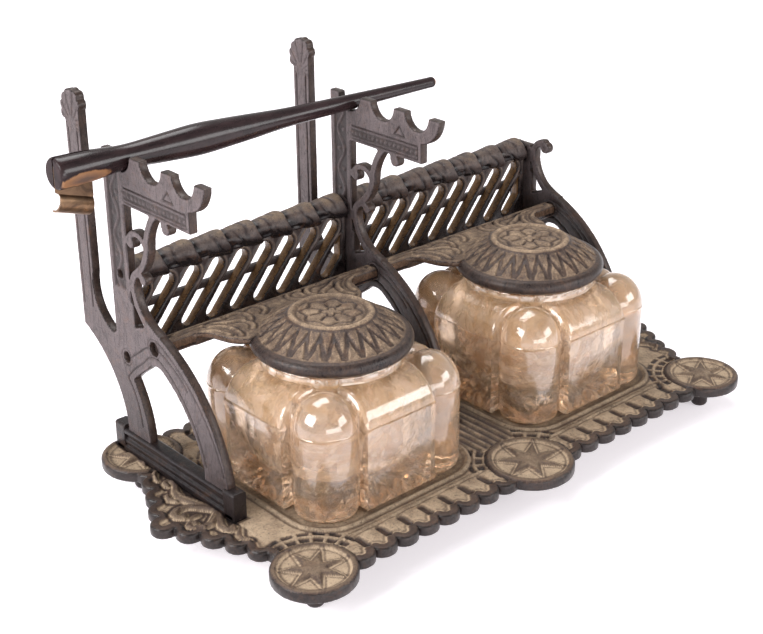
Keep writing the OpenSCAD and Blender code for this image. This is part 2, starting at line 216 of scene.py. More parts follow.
def plate(parts, field, span, pitch, top, bottom, place):
    """A casting drawn as a field over a grid, negative inside, in place's own axes.

    top and bottom give (height, tone) from the plan and the distance to the outline. Grid cells that the outline
    crosses are cut along it, so the rim is smooth, and the rims' edges make the walls.
    """
    us = arange(span[0], span[1] + pitch, pitch)
    vs = arange(span[2], span[3] + pitch, pitch)
    u, v = np.meshgrid(us, vs, indexing="ij")
    f = field(u, v)
    f = where(abs(f) < 0.02 * pitch, -0.02 * pitch, f)
    inside = f < 0
    index = full(f.shape, -1)
    index[inside] = arange(inside.sum())
    xy = [stack([u[inside], v[inside]], 1)]
    count = int(inside.sum())

    def crossings(axis):
        nonlocal count
        a = tuple(slice(None, -1) if k == axis else slice(None) for k in (0, 1))
        b = tuple(slice(1, None) if k == axis else slice(None) for k in (0, 1))
        hit = inside[a] != inside[b]
        t = (f[a] / where(hit, f[a] - f[b], 1))[hit]
        xy.append(stack([u[a][hit] * (1 - t) + u[b][hit] * t, v[a][hit] * (1 - t) + v[b][hit] * t], 1))
        ids = full(hit.shape, -1)
        ids[hit] = count + arange(hit.sum())
        count += int(hit.sum())
        return ids

    def corners(values):
        return values[:-1, :-1], values[1:, :-1], values[1:, 1:], values[:-1, 1:]

    across, along = crossings(0), crossings(1)
    xy = vstack(xy)
    whole = np.logical_and.reduce(corners(inside))
    some = np.logical_or.reduce(corners(inside)) & ~whole
    faces = stack([c[whole] for c in corners(index)], 1).tolist()
    rims = []
    for i, j in zip(*np.nonzero(some)):
        corner = ((i, j), (i + 1, j), (i + 1, j + 1), (i, j + 1))
        edge = (across[i, j], along[i + 1, j], across[i, j + 1], along[i, j])
        ring, left = [], []
        for k in range(4):
            here, there = inside[corner[k]], inside[corner[(k + 1) % 4]]
            if here:
                ring.append(index[corner[k]])
            if here != there:
                ring.append(edge[k])
                left.append((edge[k], here))
        if len(ring) >= 3:
            faces.append([int(x) for x in ring])
        for k, (e, leaving) in enumerate(left):
            if leaving:
                rims.append((int(e), int(left[(k + 1) % len(left)][0])))
    solid = int(inside.sum())
    tree = kdtree.KDTree(len(xy) - solid)
    for i in range(solid, len(xy)):
        tree.insert((xy[i, 0], xy[i, 1], 0), i)
    tree.balance()
    d = np.zeros(len(xy))
    d[:solid] = [tree.find((x, y, 0))[2] for x, y in xy[:solid]]
    pu, pv = xy[:, 0], xy[:, 1]
    hi, tone_hi = top(pu, pv, d)
    lo, tone_lo = bottom(pu, pv, d)
    tone_hi, tone_lo = np.broadcast_to(tone_hi, hi.shape).copy(), np.broadcast_to(tone_lo, lo.shape).copy()
    tone_hi[solid:] = tone_lo[solid:] = WALL_TONE
    n = len(xy)
    points = vstack([stack(place(pu, pv, hi), 1), stack(place(pu, pv, lo), 1)])
    faces += [[i + n for i in reversed(r)] for r in faces]
    faces += [[a, a + n, b + n, b] for a, b in rims]
    parts.add(points, faces, np.concatenate([tone_hi, tone_lo]))


def grid(parts, p, tone):
    """Quads over rows of points, each row a closed ring, and a cap on the first and the last."""
    rows, cols = np.shape(p)[:2]
    faces = []
    for a in range(0, (rows - 1) * cols, cols):
        for j in range(cols):
            k = (j + 1) % cols
            faces.append((a + j, a + k, a + cols + k, a + cols + j))
    faces.append(tuple(reversed(range(cols))))
    faces.append(tuple((rows - 1) * cols + j for j in range(cols)))
    parts.add(p, faces, np.reshape(tone, -1) if np.ndim(tone) else tone)


def lathe(parts, profile, soft, origin, axis="z", sides=64, tone=0.5, n=3):
    """Turns (along, radius) stations, with their corners rounded by soft, about an axis through origin."""
    a = turns(sides)
    rows = []
    for s, r in soft_profile(profile, soft, n):
        c, k = r * cos(a), r * sin(a)
        w = full(sides, float(s))
        rows.append(stack({"z": (c, k, w), "x": (w, c, k)}[axis], 1) + np.asarray(origin))
    grid(parts, rows, tone)


def soft_profile(pts, r, n):
    """Rounds the corners of a (along, radius) profile."""
    out = [pts[0]]
    for a, b, c in zip(pts[:-2], pts[1:-1], pts[2:]):
        a, b, c = (array(q, float) for q in (a, b, c))
        la, lc = np.linalg.norm(a - b), np.linalg.norm(c - b)
        k = min(r, la / 2.2, lc / 2.2)
        s, e = b + (a - b) / la * k, b + (c - b) / lc * k
        for i in range(n + 1):
            t = i / n
            out.append(tuple((1 - t) ** 2 * s + 2 * t * (1 - t) * b + t * t * e))
    return out + [pts[-1]]


def bar(parts, section, lo, hi, place, tone, soft, n):
    """A straight bar: a closed section of (u, w) points, run from lo to hi with softened ends."""
    ring = array(soft_profile([section[-1], *section, section[0]], 0.45, 3)[1:-1])
    mid = ring.mean(0)
    rows = []
    stations = [(lo, 1 - 0.06 * soft), (lo + 0.25 * soft, 1 - 0.015 * soft), (lo + soft, 1)]
    stations += [(lo + soft + (hi - lo - 2 * soft) * i / n, 1) for i in range(1, n)]
    stations += [(hi - soft, 1), (hi - 0.25 * soft, 1 - 0.015 * soft), (hi, 1 - 0.06 * soft)]
    for s, k in stations:
        q = mid + (ring - mid) * k
        rows.append(stack(place(q[:, 0], full(len(q), s), q[:, 1]), 1))
    grid(parts, rows, tone)


# ---------------------------------------------------------------- shading
class Value:
    """A socket of a shader's tree that takes part in plain formulas; each operation is one math node."""

    def __init__(self, shader, socket):
        self.shader, self.socket = shader, socket

    def op(self, name, other=None, swap=False):
        n = self.shader.node("Math", operation=name)
        for socket, value in zip(n.inputs, (other, self) if swap else (self, other)):
            self.shader.put(socket, value)
        return Value(self.shader, n.outputs[0])

    __add__ = partialmethod(op, "ADD")
    __sub__ = partialmethod(op, "SUBTRACT")
    __rsub__ = partialmethod(op, "SUBTRACT", swap=True)
    __mul__ = partialmethod(op, "MULTIPLY")
    __lt__ = partialmethod(op, "LESS_THAN")
    __abs__ = partialmethod(op, "ABSOLUTE")

    def clamped(self):
        self.socket.node.use_clamp = True
        return self


class Shader:
    """A principled material with a few shorthands for its node tree."""

    def __init__(self, name, **fixed):
        self.mat = bpy.data.materials.new(name)
        self.mat.use_nodes = True
        self.tree = self.mat.node_tree
        self.tree.nodes.clear()
        out = self.node("OutputMaterial")
        self.bsdf = self.node("BsdfPrincipled")
        self.tree.links.new(self.bsdf.outputs[0], out.inputs[0])
        for key, value in fixed.items():
            self.bsdf.inputs[key.replace("_", " ")].default_value = value
        self.coord = self.node("TexCoord").outputs["Object"]

    def node(self, kind, **settings):
        n = self.tree.nodes.new("ShaderNode" + kind)
        for key, value in settings.items():
            setattr(n, key, value)
        return n

    def put(self, socket, value):
        if isinstance(value, Value):
            value = value.socket
        if isinstance(value, bpy.types.NodeSocket):
            self.tree.links.new(value, socket)
        elif value is not None:
            socket.default_value = value

    def set(self, key, value):
        self.put(self.bsdf.inputs[key], value)

    def noise(self, scale, detail=4.0, rough=0.55, stretch=None, warp=0.0):
        vector = self.coord
        if stretch:
            m = self.node("Mapping")
            self.put(m.inputs["Vector"], vector)
            m.inputs["Scale"].default_value = stretch
            vector = m.outputs[0]
        n = self.node("TexNoise")
        self.put(n.inputs["Vector"], vector)
        for key, value in (("Scale", scale), ("Detail", detail), ("Roughness", rough), ("Distortion", warp)):
            n.inputs[key].default_value = value
        return Value(self, n.outputs[0])

    def tone(self):
        """The mesh's tone at each point; on the castings it also carries painted light and shade."""
        return Value(self, self.node("Attribute", attribute_name="tone").outputs["Fac"])

    def ramp(self, fac, *stops):
        n = self.node("ValToRGB")
        self.put(n.inputs[0], fac)
        e = n.color_ramp.elements
        while len(e) < len(stops):
            e.new(1.0)
        for k, (at, colour) in enumerate(stops):
            e[k].position = at
            e[k].color = (*colour, 1) if np.ndim(colour) else (colour, colour, colour, 1)
        return Value(self, n.outputs[0])

    def rise(self, fac, lo, hi):
        return self.ramp(fac, (lo, 0.0), (hi, 1.0))

    def mix(self, fac, a, b):
        n = self.node("Mix", data_type="RGBA", blend_type="MIX")
        self.put(n.inputs[0], fac)
        for socket, colour in ((n.inputs[6], a), (n.inputs[7], b)):
            self.put(socket, colour if isinstance(colour, Value) else (*colour, 1))
        return Value(self, n.outputs[2])

    def relief(self, height, distance, strength):
        n = self.node("Bump")
        n.inputs["Strength"].default_value = strength
        n.inputs["Distance"].default_value = distance
        self.put(n.inputs["Height"], height)
        self.put(self.bsdf.inputs["Normal"], n.outputs[0])


RUST = (0.15, 0.068, 0.032)
PIT = (0.018, 0.015, 0.014)
WALL_TONE = -1.0


def iron(name, side, dark, brown, mid, dust_and_highlight, spread=0.5, rust=0.25, rough=(0.36, 0.85), grain=0.00012, lines=0.0):
    """Old cast iron: bare dark metal on edges and ridges, dusty fields, rust, pits and fine cracks.

    The tone runs from 0, bare and worn, to 1, dusty; the castings also lower it for painted shade in slots,
    grooves and hollows and raise it for painted highlights along the edges of their relief. WALL_TONE marks the
    walls of a plate, coloured by side.
    """
    s = Shader(name, Metallic=0.1, Specular_IOR_Level=0.27)
    tone = s.tone()
    cloud, patch, fine = s.noise(120, 5, 0.62), s.noise(420, 4, 0.65, warp=0.8), s.noise(1900, 3, 0.75)
    mottle = (cloud + patch + fine - 1.5) * (spread * 1.3)
    fac = (tone + mottle * (tone * 0.7 + 0.45)).clamped()
    colour = s.ramp(fac, (0.0, dark), (0.28, brown), (0.52, mid), (0.92, dust_and_highlight))
    wall = s.ramp(mottle * 1.2 + 0.5, (0.25, tuple(0.35 * c for c in side)), (0.6, side),
                  (0.9, tuple(1.5 * c for c in side)))
    colour = s.mix(tone < -0.25, colour, wall)
    stain = s.rise(s.noise(210, 4, 0.7, warp=1.2), 0.54, 0.72)
    colour = s.mix(stain * rust, colour, RUST)
    pits = s.ramp(s.noise(1300, 2, 0.5), (0.3, 1.0), (0.4, 0.0))
    colour = s.mix(pits * 0.55, colour, PIT)
    crack = abs(s.noise(330, 4, 0.6, stretch=(1, 1, 0.22), warp=0.7) - 0.5)
    crack = s.ramp(crack, (0.0, lines), (0.035, 0.0))
    s.set("Base Color", s.mix(crack, colour, dark))
    s.set("Roughness", s.ramp(fac, (0.0, rough[0]), (1.0, rough[1])))
    bumps = fine * 0.6 + s.noise(900, 4, 0.65) - crack
    s.relief(bumps * s.ramp(tone, (0.0, 0.35), (0.45, 1.0)), grain, 0.9)
    return s.mat


TRAY_IRON = iron("tray_iron", (0.034, 0.026, 0.025), (0.015, 0.012, 0.012), (0.07, 0.046, 0.037),
                 (0.155, 0.108, 0.074), (0.43, 0.325, 0.225), 0.46, rust=0.22, rough=(0.3, 0.88), grain=0.00018)
FRAME_IRON = iron("frame_iron", (0.06, 0.04, 0.034), (0.009, 0.007, 0.008), (0.04, 0.029, 0.028),
                  (0.068, 0.052, 0.053), (0.128, 0.102, 0.104), 0.42, rust=0.26, rough=(0.3, 0.6), grain=0.00016,
                  lines=0.45)
PANEL_IRON = iron("panel_iron", (0.19, 0.105, 0.048), (0.009, 0.007, 0.008), (0.046, 0.033, 0.031),
                  (0.098, 0.074, 0.066), (0.27, 0.19, 0.118), 0.4, rust=0.26, rough=(0.24, 0.62), grain=0.00016,
                  lines=0.35)
LID_IRON = iron("lid_iron", (0.115, 0.07, 0.048), (0.014, 0.011, 0.012), (0.066, 0.044, 0.036),
                (0.165, 0.113, 0.078), (0.43, 0.312, 0.21), 0.62, rust=0.3, rough=(0.25, 0.85), grain=0.00024,
                lines=0.25)


def steel():
    s = Shader("screw_steel", Metallic=0.9)
    grain = s.noise(1400, 3, 0.6, stretch=(1, 9, 1))
    s.set("Base Color", s.ramp(grain, (0.3, (0.11, 0.1, 0.095)), (0.7, (0.3, 0.285, 0.27))))
    s.set("Roughness", s.ramp(s.noise(500, 3), (0.3, 0.35), (0.7, 0.6)))
    s.relief(grain, 0.00005, 0.6)
    return s.mat


def glass():
    """Thick pressed glass, warm and lustred. The tone is its film: 0 clear, 0.4 an amber cloud on the shoulders,
    0.5 to 0.7 a film in the bowl, bright in patches of painted sparkle, and from 0.8 the star-cut base, a mirror
    tinted by the same painted sparkle, which throws light back.
    """
    s = Shader("well_glass", IOR=1.49, Coat_Weight=1.0, Coat_Roughness=0.09, Coat_IOR=1.65)
    film = s.tone()
    cloud = s.noise(55, 4, 0.6, warp=0.8)
    streak = s.noise(170, 3, 0.5, stretch=(1, 1, 0.4), warp=1.2)
    veil = s.rise((cloud + streak) * 0.5, 0.38, 0.64)
    tint = s.mix(veil, (0.7, 0.44, 0.21), (0.8, 0.56, 0.38))
    swirl = s.rise(s.noise(60, 5, 0.68, stretch=(1, 1, 1.6), warp=2.2), 0.4, 0.6)
    clear = s.mix(swirl, (0.97, 0.7, 0.46), (1.0, 0.87, 0.76))
    tint = s.mix(s.rise(film, 0.0, 0.42), clear, tint)
    # bright patches of painted sparkle, in the bowl's film and on the mirror of the base
    painted_sparkle = s.rise(s.noise(110, 4, 0.6, stretch=(1, 1, 0.8), warp=2.4), 0.42, 0.58)
    bowl = s.rise(film, 0.44, 0.52)
    tint = s.mix(bowl, tint, s.mix(painted_sparkle, (0.94, 0.68, 0.45), (1.0, 0.88, 0.79)))
    mirror = s.mix(painted_sparkle, (1.0, 0.82, 0.66), (1.0, 0.94, 0.9))
    s.set("Base Color", s.mix(s.rise(film, 0.8, 0.9), tint, mirror))
    patchy = 1.0 - bowl * (0.75 - painted_sparkle * 0.75)
    s.set("Transmission Weight", (1.0 - film * (veil * 0.4 + 0.75) * patchy).clamped())
    s.set("Metallic", s.rise(film, 0.8, 0.9))
    s.set("Roughness", s.ramp(film, (0.0, 0.03), (0.35, 0.16), (0.6, 0.26), (0.9, 0.12)))
    s.relief(s.noise(75, 2, 0.5, warp=0.6) + s.noise(380, 2) * 0.16, 0.0022, 0.5)
    return s.mat


WELL_GLASS = glass()


def lacquer():
    """Black lacquer on turned wood; tone above a half is bare wood, darker where it is most handled."""
    s = Shader("penholder_lacquer", Coat_Roughness=0.18, Specular_IOR_Level=0.12)
    chips = s.noise(420, 4, 0.6, warp=0.5)
    edge = (s.tone() + (chips - 0.5) * 0.22).clamped()
    grain = s.noise(260, 5, 0.65, stretch=(0.15, 1, 1), warp=0.8)
    black = s.ramp(s.noise(300, 4, 0.7, stretch=(0.3, 1, 1)), (0.35, (0.011, 0.006, 0.007)),
                   (0.8, (0.038, 0.021, 0.022)))
    wood = s.ramp(edge + (grain - 0.5) * 0.3, (0.48, (0.1, 0.05, 0.03)), (0.55, (0.25, 0.125, 0.06)),
                  (0.68, (0.2, 0.105, 0.06)), (0.9, (0.11, 0.07, 0.055)))
    s.set("Base Color", s.mix(s.rise(edge, 0.44, 0.5), black, wood))
    s.set("Roughness", s.ramp(edge, (0.0, 0.24), (0.24, 0.6), (0.5, 0.42)))
    s.set("Coat Weight", s.ramp(edge, (0.0, 0.5), (0.2, 0.05), (0.5, 0.2)))
    s.relief(s.noise(420, 4, 0.6, stretch=(0.12, 1, 1)), 0.00005, 0.5)
    return s.mat


def brass():
    s = Shader("flange_brass", Metallic=0.85)
    tarnish = s.noise(150, 4, 0.6, warp=0.9)
    s.set("Base Color", s.ramp(tarnish, (0.36, (0.1, 0.062, 0.042)), (0.55, (0.2, 0.122, 0.072)),
                               (0.75, (0.36, 0.215, 0.12))))
    s.set("Roughness", s.ramp(tarnish, (0.3, 0.48), (0.75, 0.24)))
    s.relief(s.noise(700, 3), 0.00004, 0.4)
    return s.mat


def finish_piece(obj, material, body, slot, *nodes):
    obj.data.materials.append(material)
    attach(obj, body)
    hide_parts(*nodes)


def carve(obj, x, y, z, place):
    """Cuts the box between the pairs x, y and z, moved by place, out of obj for good."""
    cutter = Parts()
    box = [(i, j, k) for k in z for i, j in ((x[0], y[0]), (x[1], y[0]), (x[1], y[1]), (x[0], y[1]))]
    cutter.add(place(array(box, float)),
               [(3, 2, 1, 0), (4, 5, 6, 7), (0, 1, 5, 4), (1, 2, 6, 5), (2, 3, 7, 6), (3, 0, 4, 7)], 0.1)
    cutter = cutter.object("cutter")
    m = obj.modifiers.new("cut", "BOOLEAN")
    m.object, m.operation, m.solver = cutter, "DIFFERENCE", "EXACT"
    mesh = bpy.data.meshes.new_from_object(obj.evaluated_get(bpy.context.evaluated_depsgraph_get()))
    obj.modifiers.clear()
    obj.data = mesh
    bpy.data.objects.remove(cutter)


def on_tray(u, v, w):
    """Tray plan to the frame's own axes."""
    return u, v + MID_Y, w + TRAY_TOP


# ---------------------------------------------------------------- tray
GADROON = 9.5  # pitch of the scallops and of the slots in the border
EDGE_Y = 51.8
SCALLOPS = [s * (BAY / 2 + (i - 3.5) * GADROON) for i in range(8) for s in (-1, 1)]
FLANK_X, APEX_X, FLANK_Y, LOBE_PITCH, LOBE_R = 104.5, 120.3, 5.0, 8.1, 4.7
LOBES = [(s * (FLANK_X + (APEX_X - FLANK_X) * (1 - abs(i) / 4) ** 1.2), FLANK_Y + i * LOBE_PITCH)
         for i in range(-4, 5) for s in (-1, 1)]
STAR_POINTS, DENTIL_TURN = 7, 15.3


def star(r):
    radii = (r, 0.4 * r) * STAR_POINTS
    return [(k * math.cos(PI / 2 + PI * i / STAR_POINTS), k * math.sin(PI / 2 + PI * i / STAR_POINTS))
            for i, k in enumerate(radii)]


def tray_field(u, v):
    body = rect(u, v, 0, 0, FLANK_X + 1, EDGE_Y)
    flank = poly(abs(u), v - FLANK_Y, [(FLANK_X - 3, -34), (FLANK_X, -32.4), (APEX_X, 0), (FLANK_X, 32.4),
                                       (FLANK_X - 3, 34)])
    f = minimum(body, flank)
    for x in SCALLOPS:
        f = minimum(f, disc(u, abs(v), x, EDGE_Y, 5.2))
    for x, y, r in [(x, y, LOBE_R) for x, y in LOBES] + MEDALLIONS:
        f = minimum(f, disc(u, v, x, y, r))
    return f


def well_ring(u, v):
    """Signed distance to the two wells' outline."""
    return rect(abs(u) - BAY / 2, v, 0, 0, 36, 36, 13.1)


# Leaf scrolls of one flank, as stations (distance outward, along, half-width)
FLANK_SCROLLS = [
    [(101.8, -0.5, 1.1), (103.7, 4.4, 1.5), (105.6, 10.4, 1.9), (106.8, 14.6, 1.9), (106.0, 18.4, 1.6),
     (103.9, 21.6, 1.3), (103.2, 24.6, 1.1), (103.9, 26.9, 1.0), (105.5, 26.2, 1.0), (105.7, 24.4, 1.2)],
    [(103.0, 0.6, 1.2), (105.6, 4.8, 1.3), (108.2, 8.0, 1.4), (111.6, 9.0, 1.5), (114.4, 7.6, 1.5),
     (115.0, 5.0, 1.3), (113.2, 3.6, 1.3), (112.0, 4.8, 1.1)],
    [(103.0, -1.2, 1.3), (105.8, -3.6, 1.5), (108.6, -5.6, 1.5), (112.0, -6.0, 1.4), (114.6, -4.4, 1.3),
     (115.2, -1.8, 1.1), (113.6, -0.6, 1.1), (112.2, -2.0, 1.1)],
    [(102.6, -2.6, 1.3), (105.3, -6.2, 1.6), (107.0, -9.6, 1.6), (106.9, -12.6, 1.3), (105.1, -13.8, 1.1),
     (104.1, -12.0, 1.1)],
    [(103.0, -14.0, 0.8), (106.0, -17.5, 1.1), (106.6, -21.0, 0.9), (104.9, -22.0, 0.8)],
    [(109.0, 13.4, 0.7), (110.6, 16.0, 1.1), (109.4, 19.0, 0.8)],
    [(106.4, 29.5, 0.7), (105.4, 32.5, 1.1), (103.4, 34.6, 0.8)],
    [(108.5, 1.6, 0.7), (110.0, 1.5, 1.0), (112.5, 1.4, 0.6)],
]


def leaf_distance(u, v, stations, n=7):
    """Distance to the edge of a tapering stroke, negative inside."""
    pts = array(stations)
    t = linspace(0, len(pts) - 1, (len(pts) - 1) * n + 1)
    k = arange(len(pts))
    best = full(u.shape, 1e9)
    for x, y, w in zip(*(np.interp(t, k, pts[:, i]) for i in range(3))):
        best = minimum(best, hypot(u - x, v - y) - w)
    return best


def medallion(h, tone, u, v, q, x, y, r):
    """One medallion at (x, y): dentils round it, a raised worn ring, a dusty field and a faceted star."""
    du, dv = u - x, v - y
    rho = hypot(du, dv)
    turn = np.degrees(np.arctan2(-dv * np.sign(y), -du * np.sign(x) if x else abs(du)))
    lo, hi = (8, 100) if x else (18, 64)
    out = (q > 3.4) & (turn > lo) & (turn < hi)
    if x and y > 0:
        # a fan of leaf strokes in place of dentils at the back corners, a little lighter on the strokes,
        # with painted shade between them
        fan = cos(2 * PI * (turn - 4) / 13) * out * within(rho, r + 5.2, r + 6.4, r + 8.5, r + 11)
        h += 0.32 * fan
        tone = tone + 0.18 * fan - 0.1 * abs(fan)
    else:
        cell = (turn - lo) % DENTIL_TURN / DENTIL_TURN
        block = minimum(step(cell, 0.08, 0.2), step(-cell, -0.92, -0.8))
        for r_lo, r_hi, deep in ((r + 1.0, r + 4.0, 0.7), (r + 4.9, r + 7.2, 0.45)):
            fan = within(rho, r_lo, r_lo + 0.5, r_hi - 0.5, r_hi) * block * out
            h = h - deep * fan + 0.25 * bump(rho - r_lo + 0.3, 0.5) * out
            # painted shade in the dentils' recesses
            tone -= 0.62 * fan
    field_r = r - 2.4
    ring = step(rho, field_r - 0.3, field_r + 0.5)
    s = poly(du, dv, star(field_r - 0.4))
    facet = minimum(maximum(-s, 0) * 0.9, 1.15)
    on_star = step(-s, -0.15, 0.25)
    face = 0.08 * waves(u, v, 2.0) + 0.75 * ring + 0.25 * bump(rho - r + 1.5, 1.3) + facet
    face = face - rounded(r - minimum(rho, r), 0.8)
    # light lines of painted highlight on the star's edge and the ring's inner edge, painted shade at their feet
    shade = 0.86 - 0.42 * ring - 0.48 * on_star + 0.2 * bump(s + 0.05, 0.35) - 0.34 * bump(s - 0.75, 0.6)
    shade = shade + 0.14 * bump(rho - field_r + 0.1, 0.45) - 0.34 * bump(rho - field_r + 0.95, 0.7)
    shade = shade - 0.3 * (1 - step(r - rho, 0.1, 1.0)) + 0.25 * minimum(-s, 0.5) * on_star * (s < -1.0)
    # round the medallion a narrow sunk moat, dark with painted shade
    inside, moat = rho < r, rho < r + 0.6
    return (where(inside, face, where(moat, h - 0.25, h)),
            where(inside, shade, where(moat, 0.15, tone)))


def tray_top(u, v, d):
    au, av = abs(u), abs(v)
    q = well_ring(u, v)
    h = 0.1 * waves(u, v) - rounded(d, 0.9)
    tone = 0.78 + 0.07 * waves(u, v, 3.0)
    # the scalloped edge carries a raised band, worn dark, with a painted highlight along its inner side
    # and painted shade just inside that
    band = step(-d, -3.5, -2.9)
    h += 0.65 * band
    tone = tone - 0.56 * band + 0.14 * bump(d - 3.6, 0.5) - 0.25 * bump(d - 4.5, 0.7) - 0.35 * (1 - step(d, 0.05, 0.8))
    # lips round the wells, with painted shade at both feet of each lip and under the wells
    lip = bump(q - 2.3, 1.25)
    h += 0.85 * lip
    tone = tone - 0.1 * lip - 0.42 * bump(q - 3.9, 0.8) - 0.3 * bump(q - 0.7, 0.9) - 0.12 * (q < 0.2)
    # border strip: gadroons parted by upright slots, front and back;
    # painted shade in the slots and beside its ridges
    bay_u = abs(au - BAY / 2)
    strip = step(-(bay_u - 36.5), 0, 1.5) * within(av, 43.2, 43.9, 51.4, 53.0)
    ridge = (bump(av - 42.6, 0.6) + 0.5 * bump(av - 40.9, 0.4)) * step(-(bay_u - 37), 0, 2)
    slot_u = abs((bay_u + GADROON / 2) % GADROON - GADROON / 2)
    rib_u = abs(bay_u % GADROON - GADROON / 2)
    slot = rect(slot_u, av, 0, 47.7, 1.25, 3.6, 1.2)
    cut = step(-slot, -0.55, 0.35) * strip
    h = h + 0.5 * ridge + 0.42 * bump(rib_u, 4.4) * strip - 0.85 * cut
    tone = tone - 0.1 * ridge - 0.58 * cut + 0.1 * bump(slot - 0.75, 0.5) * strip
    tone = tone - 0.3 * bump(av - 43.6, 0.5) * (bay_u < 37) - 0.18 * bump(av - 41.6, 0.4) * (bay_u < 37)
    # ribs between the wells: painted highlight on the crests, painted shade in the troughs, the strip darker overall
    mid = step(-au, -10.6, -9.8) * step(-av, -33.5, -31.5)
    wave = cos(2 * PI * u / 3.3)
    h += mid * (0.42 * wave - 0.1)
    tone += mid * (0.22 * wave - 0.34)
    for x, y, r in MEDALLIONS:
        h, tone = medallion(h, tone, u, v, q, x, y, r)
    # leaf scrolls on the flanks: raised strokes worn dark, with a light line of painted highlight along
    # their edges and painted shade round them
    flank = (au > 101.5) & (d > 2.2)
    fu, fv, dd = au[flank], v[flank], d[flank]
    g = np.minimum.reduce([leaf_distance(fu, fv, stations) for stations in FLANK_SCROLLS])
    raised = step(-g, -0.2, 0.8) * step(dd, 2.2, 3.0)
    h[flank] += 1.25 * raised - 0.25 * step(dd, 3.4, 4.2)
    shade = where(g < 0, 0.36 + 0.26 * step(-g, 0.9, 1.6), tone[flank])
    tone[flank] = shade + 0.34 * bump(g + 0.05, 0.45) - 0.62 * bump(g - 1.1, 1.0)
    # leaf veins between the wells and the outer frames: painted highlight on the crests, painted shade in the troughs
    vein = cos(2 * PI * (v + 0.8 * (au - BAY)) / 4.6)
    keep = (au > BAY - 12.2) & (au < BAY - 3) & (d > 2) & (abs(v - 22) < 16) & (q > 3.6)
    h = where(keep, h + 0.28 * vein, h)
    tone = where(keep, tone + 0.16 * vein - 0.12, tone)
    # seats of the frames' foot bars, with painted shade under the bars and along their feet
    near = minimum(au, abs(au - BAY))
    seat = (near < 2.95) & (v > -10.9) & (v < 61.3)
    h = where(seat, minimum(h, -0.02), h)
    tone = where(seat, 0.12, tone)
    tone = tone - 0.35 * step(3.6 - near, 0, 0.7) * ((v > -12) & (v < 62.5))
    h = where(q < 1.1, minimum(h, -0.03), h)
    return h, clip(tone, 0, 1)


def tray_under(u, v, d):
    return -TRAY_T + rounded(d, 0.6) + 0.05 * waves(u, v, 4.0), full(u.shape, 0.22)


def build_tray():
    p = Parts()
    plate(p, tray_field, (-126, 126, -66, 66), 0.5, tray_top, tray_under, on_tray)
    finish_piece(p.object("tray_casting"), TRAY_IRON, "stand", "tray_iron", "base_tray")
    h = TRAY_TOP - TRAY_T
    for end, y in (("front", -1), ("back", 1)):
        for side, x in (("left", -1), ("right", 1)):
            p = Parts()
            lathe(p, [(0, 0), (0, 2.6), (1.1, 3.25), (h - 1.6, 3.2), (h - 0.4, 4.0), (h, 4.1), (h, 0)], 0.6,
                  (x * BAY, MID_Y + y * MEDALLION_Y, 0), sides=40, tone=0.15, n=4)
            finish_piece(p.object(f"foot_peg_{end}_{side}"), FRAME_IRON, "stand", "frame_iron", f"foot_{end}_{side}")


# ---------------------------------------------------------------- frames
def strap(path, w):
    """The outline of a band of width w along a path."""
    pts = array(path)
    q = vstack([pts[1:], pts[-1:]]) - vstack([pts[:1], pts[:-1]])
    n = stack([-q[:, 1], q[:, 0]], 1) / np.linalg.norm(q, axis=1)[:, None]
    return [tuple(x) for x in vstack([pts + n * w / 2, (pts - n * w / 2)[::-1]])]


BAR_H = 9.0
ARM = ([(-6.5, BAR_H - 3)] + arc3((-6.5, 12), (5.5, 36.7), (30.5, 54.7), 20)
       + [(37.5, 58.2), (PILASTER[0], 62.5), (PILASTER[1], 62.5), (PILASTER[1], 43)]
       + arc3((PILASTER[1], 43), (55.4, 27), (53.5, 12), 8) + [(53.5, BAR_H - 3)])
WINDOW = ([(7, BAR_H - 4)] + arc3((7, 11.5), (13.5, 27), (26.5, 40), 12) + arc3((26.5, 40), (32, 42), (37.5, 39), 6)
          + [(44, 34.2), (47, 31.5)] + arc3((47, 31.5), (42, 22), (39.5, 11.5), 8) + [(39.5, BAR_H - 4)])
EYELET = [(36.5, 55.6), (43.6, 53), (43.6, 61.6), (41.6, 60.4)]
STRAP_ROOT = arc3((29, 52.8), (39.6, 59.2), (43.4, 68.5), 12)
RISING = (STRAP_ROOT + arc3((43.2, 70), (42.6, 72), (41, 73.6), 4) + arc3((39.6, 74.8), (34.6, 80.4), (32.8, 87), 9)
          + arc3((32.6, 88.6), (30.8, 93.4), (27, 98.6), 8))
CURLED = STRAP_ROOT + arc3((43.2, 70), (41.6, 74.6), (37.6, 75.6), 8)
HIGH_SCROLL = arc3((33.2, 83.4), (38.4, 88.8), (43.8, 85.6), 16)
LOW_SCROLL = arc3((42.6, 71), (40, 74), (36.8, 73.4), 7)
CROWN = [(post_y, POST_Z - dz, r) for post_y, dz, r in
         ((70.2, 5.2, 2.2), (71.2, 2.6, 2.1), (73.2, 1.9, 1.9), (75.4, 2.5, 2.0), (77.3, 4.0, 2.0),
          (78.5, 6.4, 1.9), (78.3, 9.4, 2.0), (73.6, 6, 4.2))]
REAR = ([(45, BAR_H - 3), (53.5, BAR_H - 3)] + arc3((53.5, 12), (62.3, 31.6), (POST[1], 43.3), 14)
        + [(POST[1], POST_Z - 10), (76.5, POST_Z - 5), (70.5, POST_Z - 5), (POST[0], POST_Z - 6.8), (POST[0], 66)]
        + arc3((POST[0], 66), (66, 51.5), (58.6, 46.4), 12) + [(56.4, 47.4), (56.2, 40), (48, 36)])


def base_frame(u, v):
    f = maximum(poly(u, v, ARM), -poly(u, v, WINDOW))
    return maximum(f, -poly(u, v, EYELET))


def holes(u, v, f):
    for y, z, r in ((*PIVOT, 2.5), (PANEL_Y, ROLL_Z, 1.55), (PANEL_Y, LOW_PIN_Z, 1.95)):
        f = maximum(f, -disc(u, v, y, z, r))
    return f


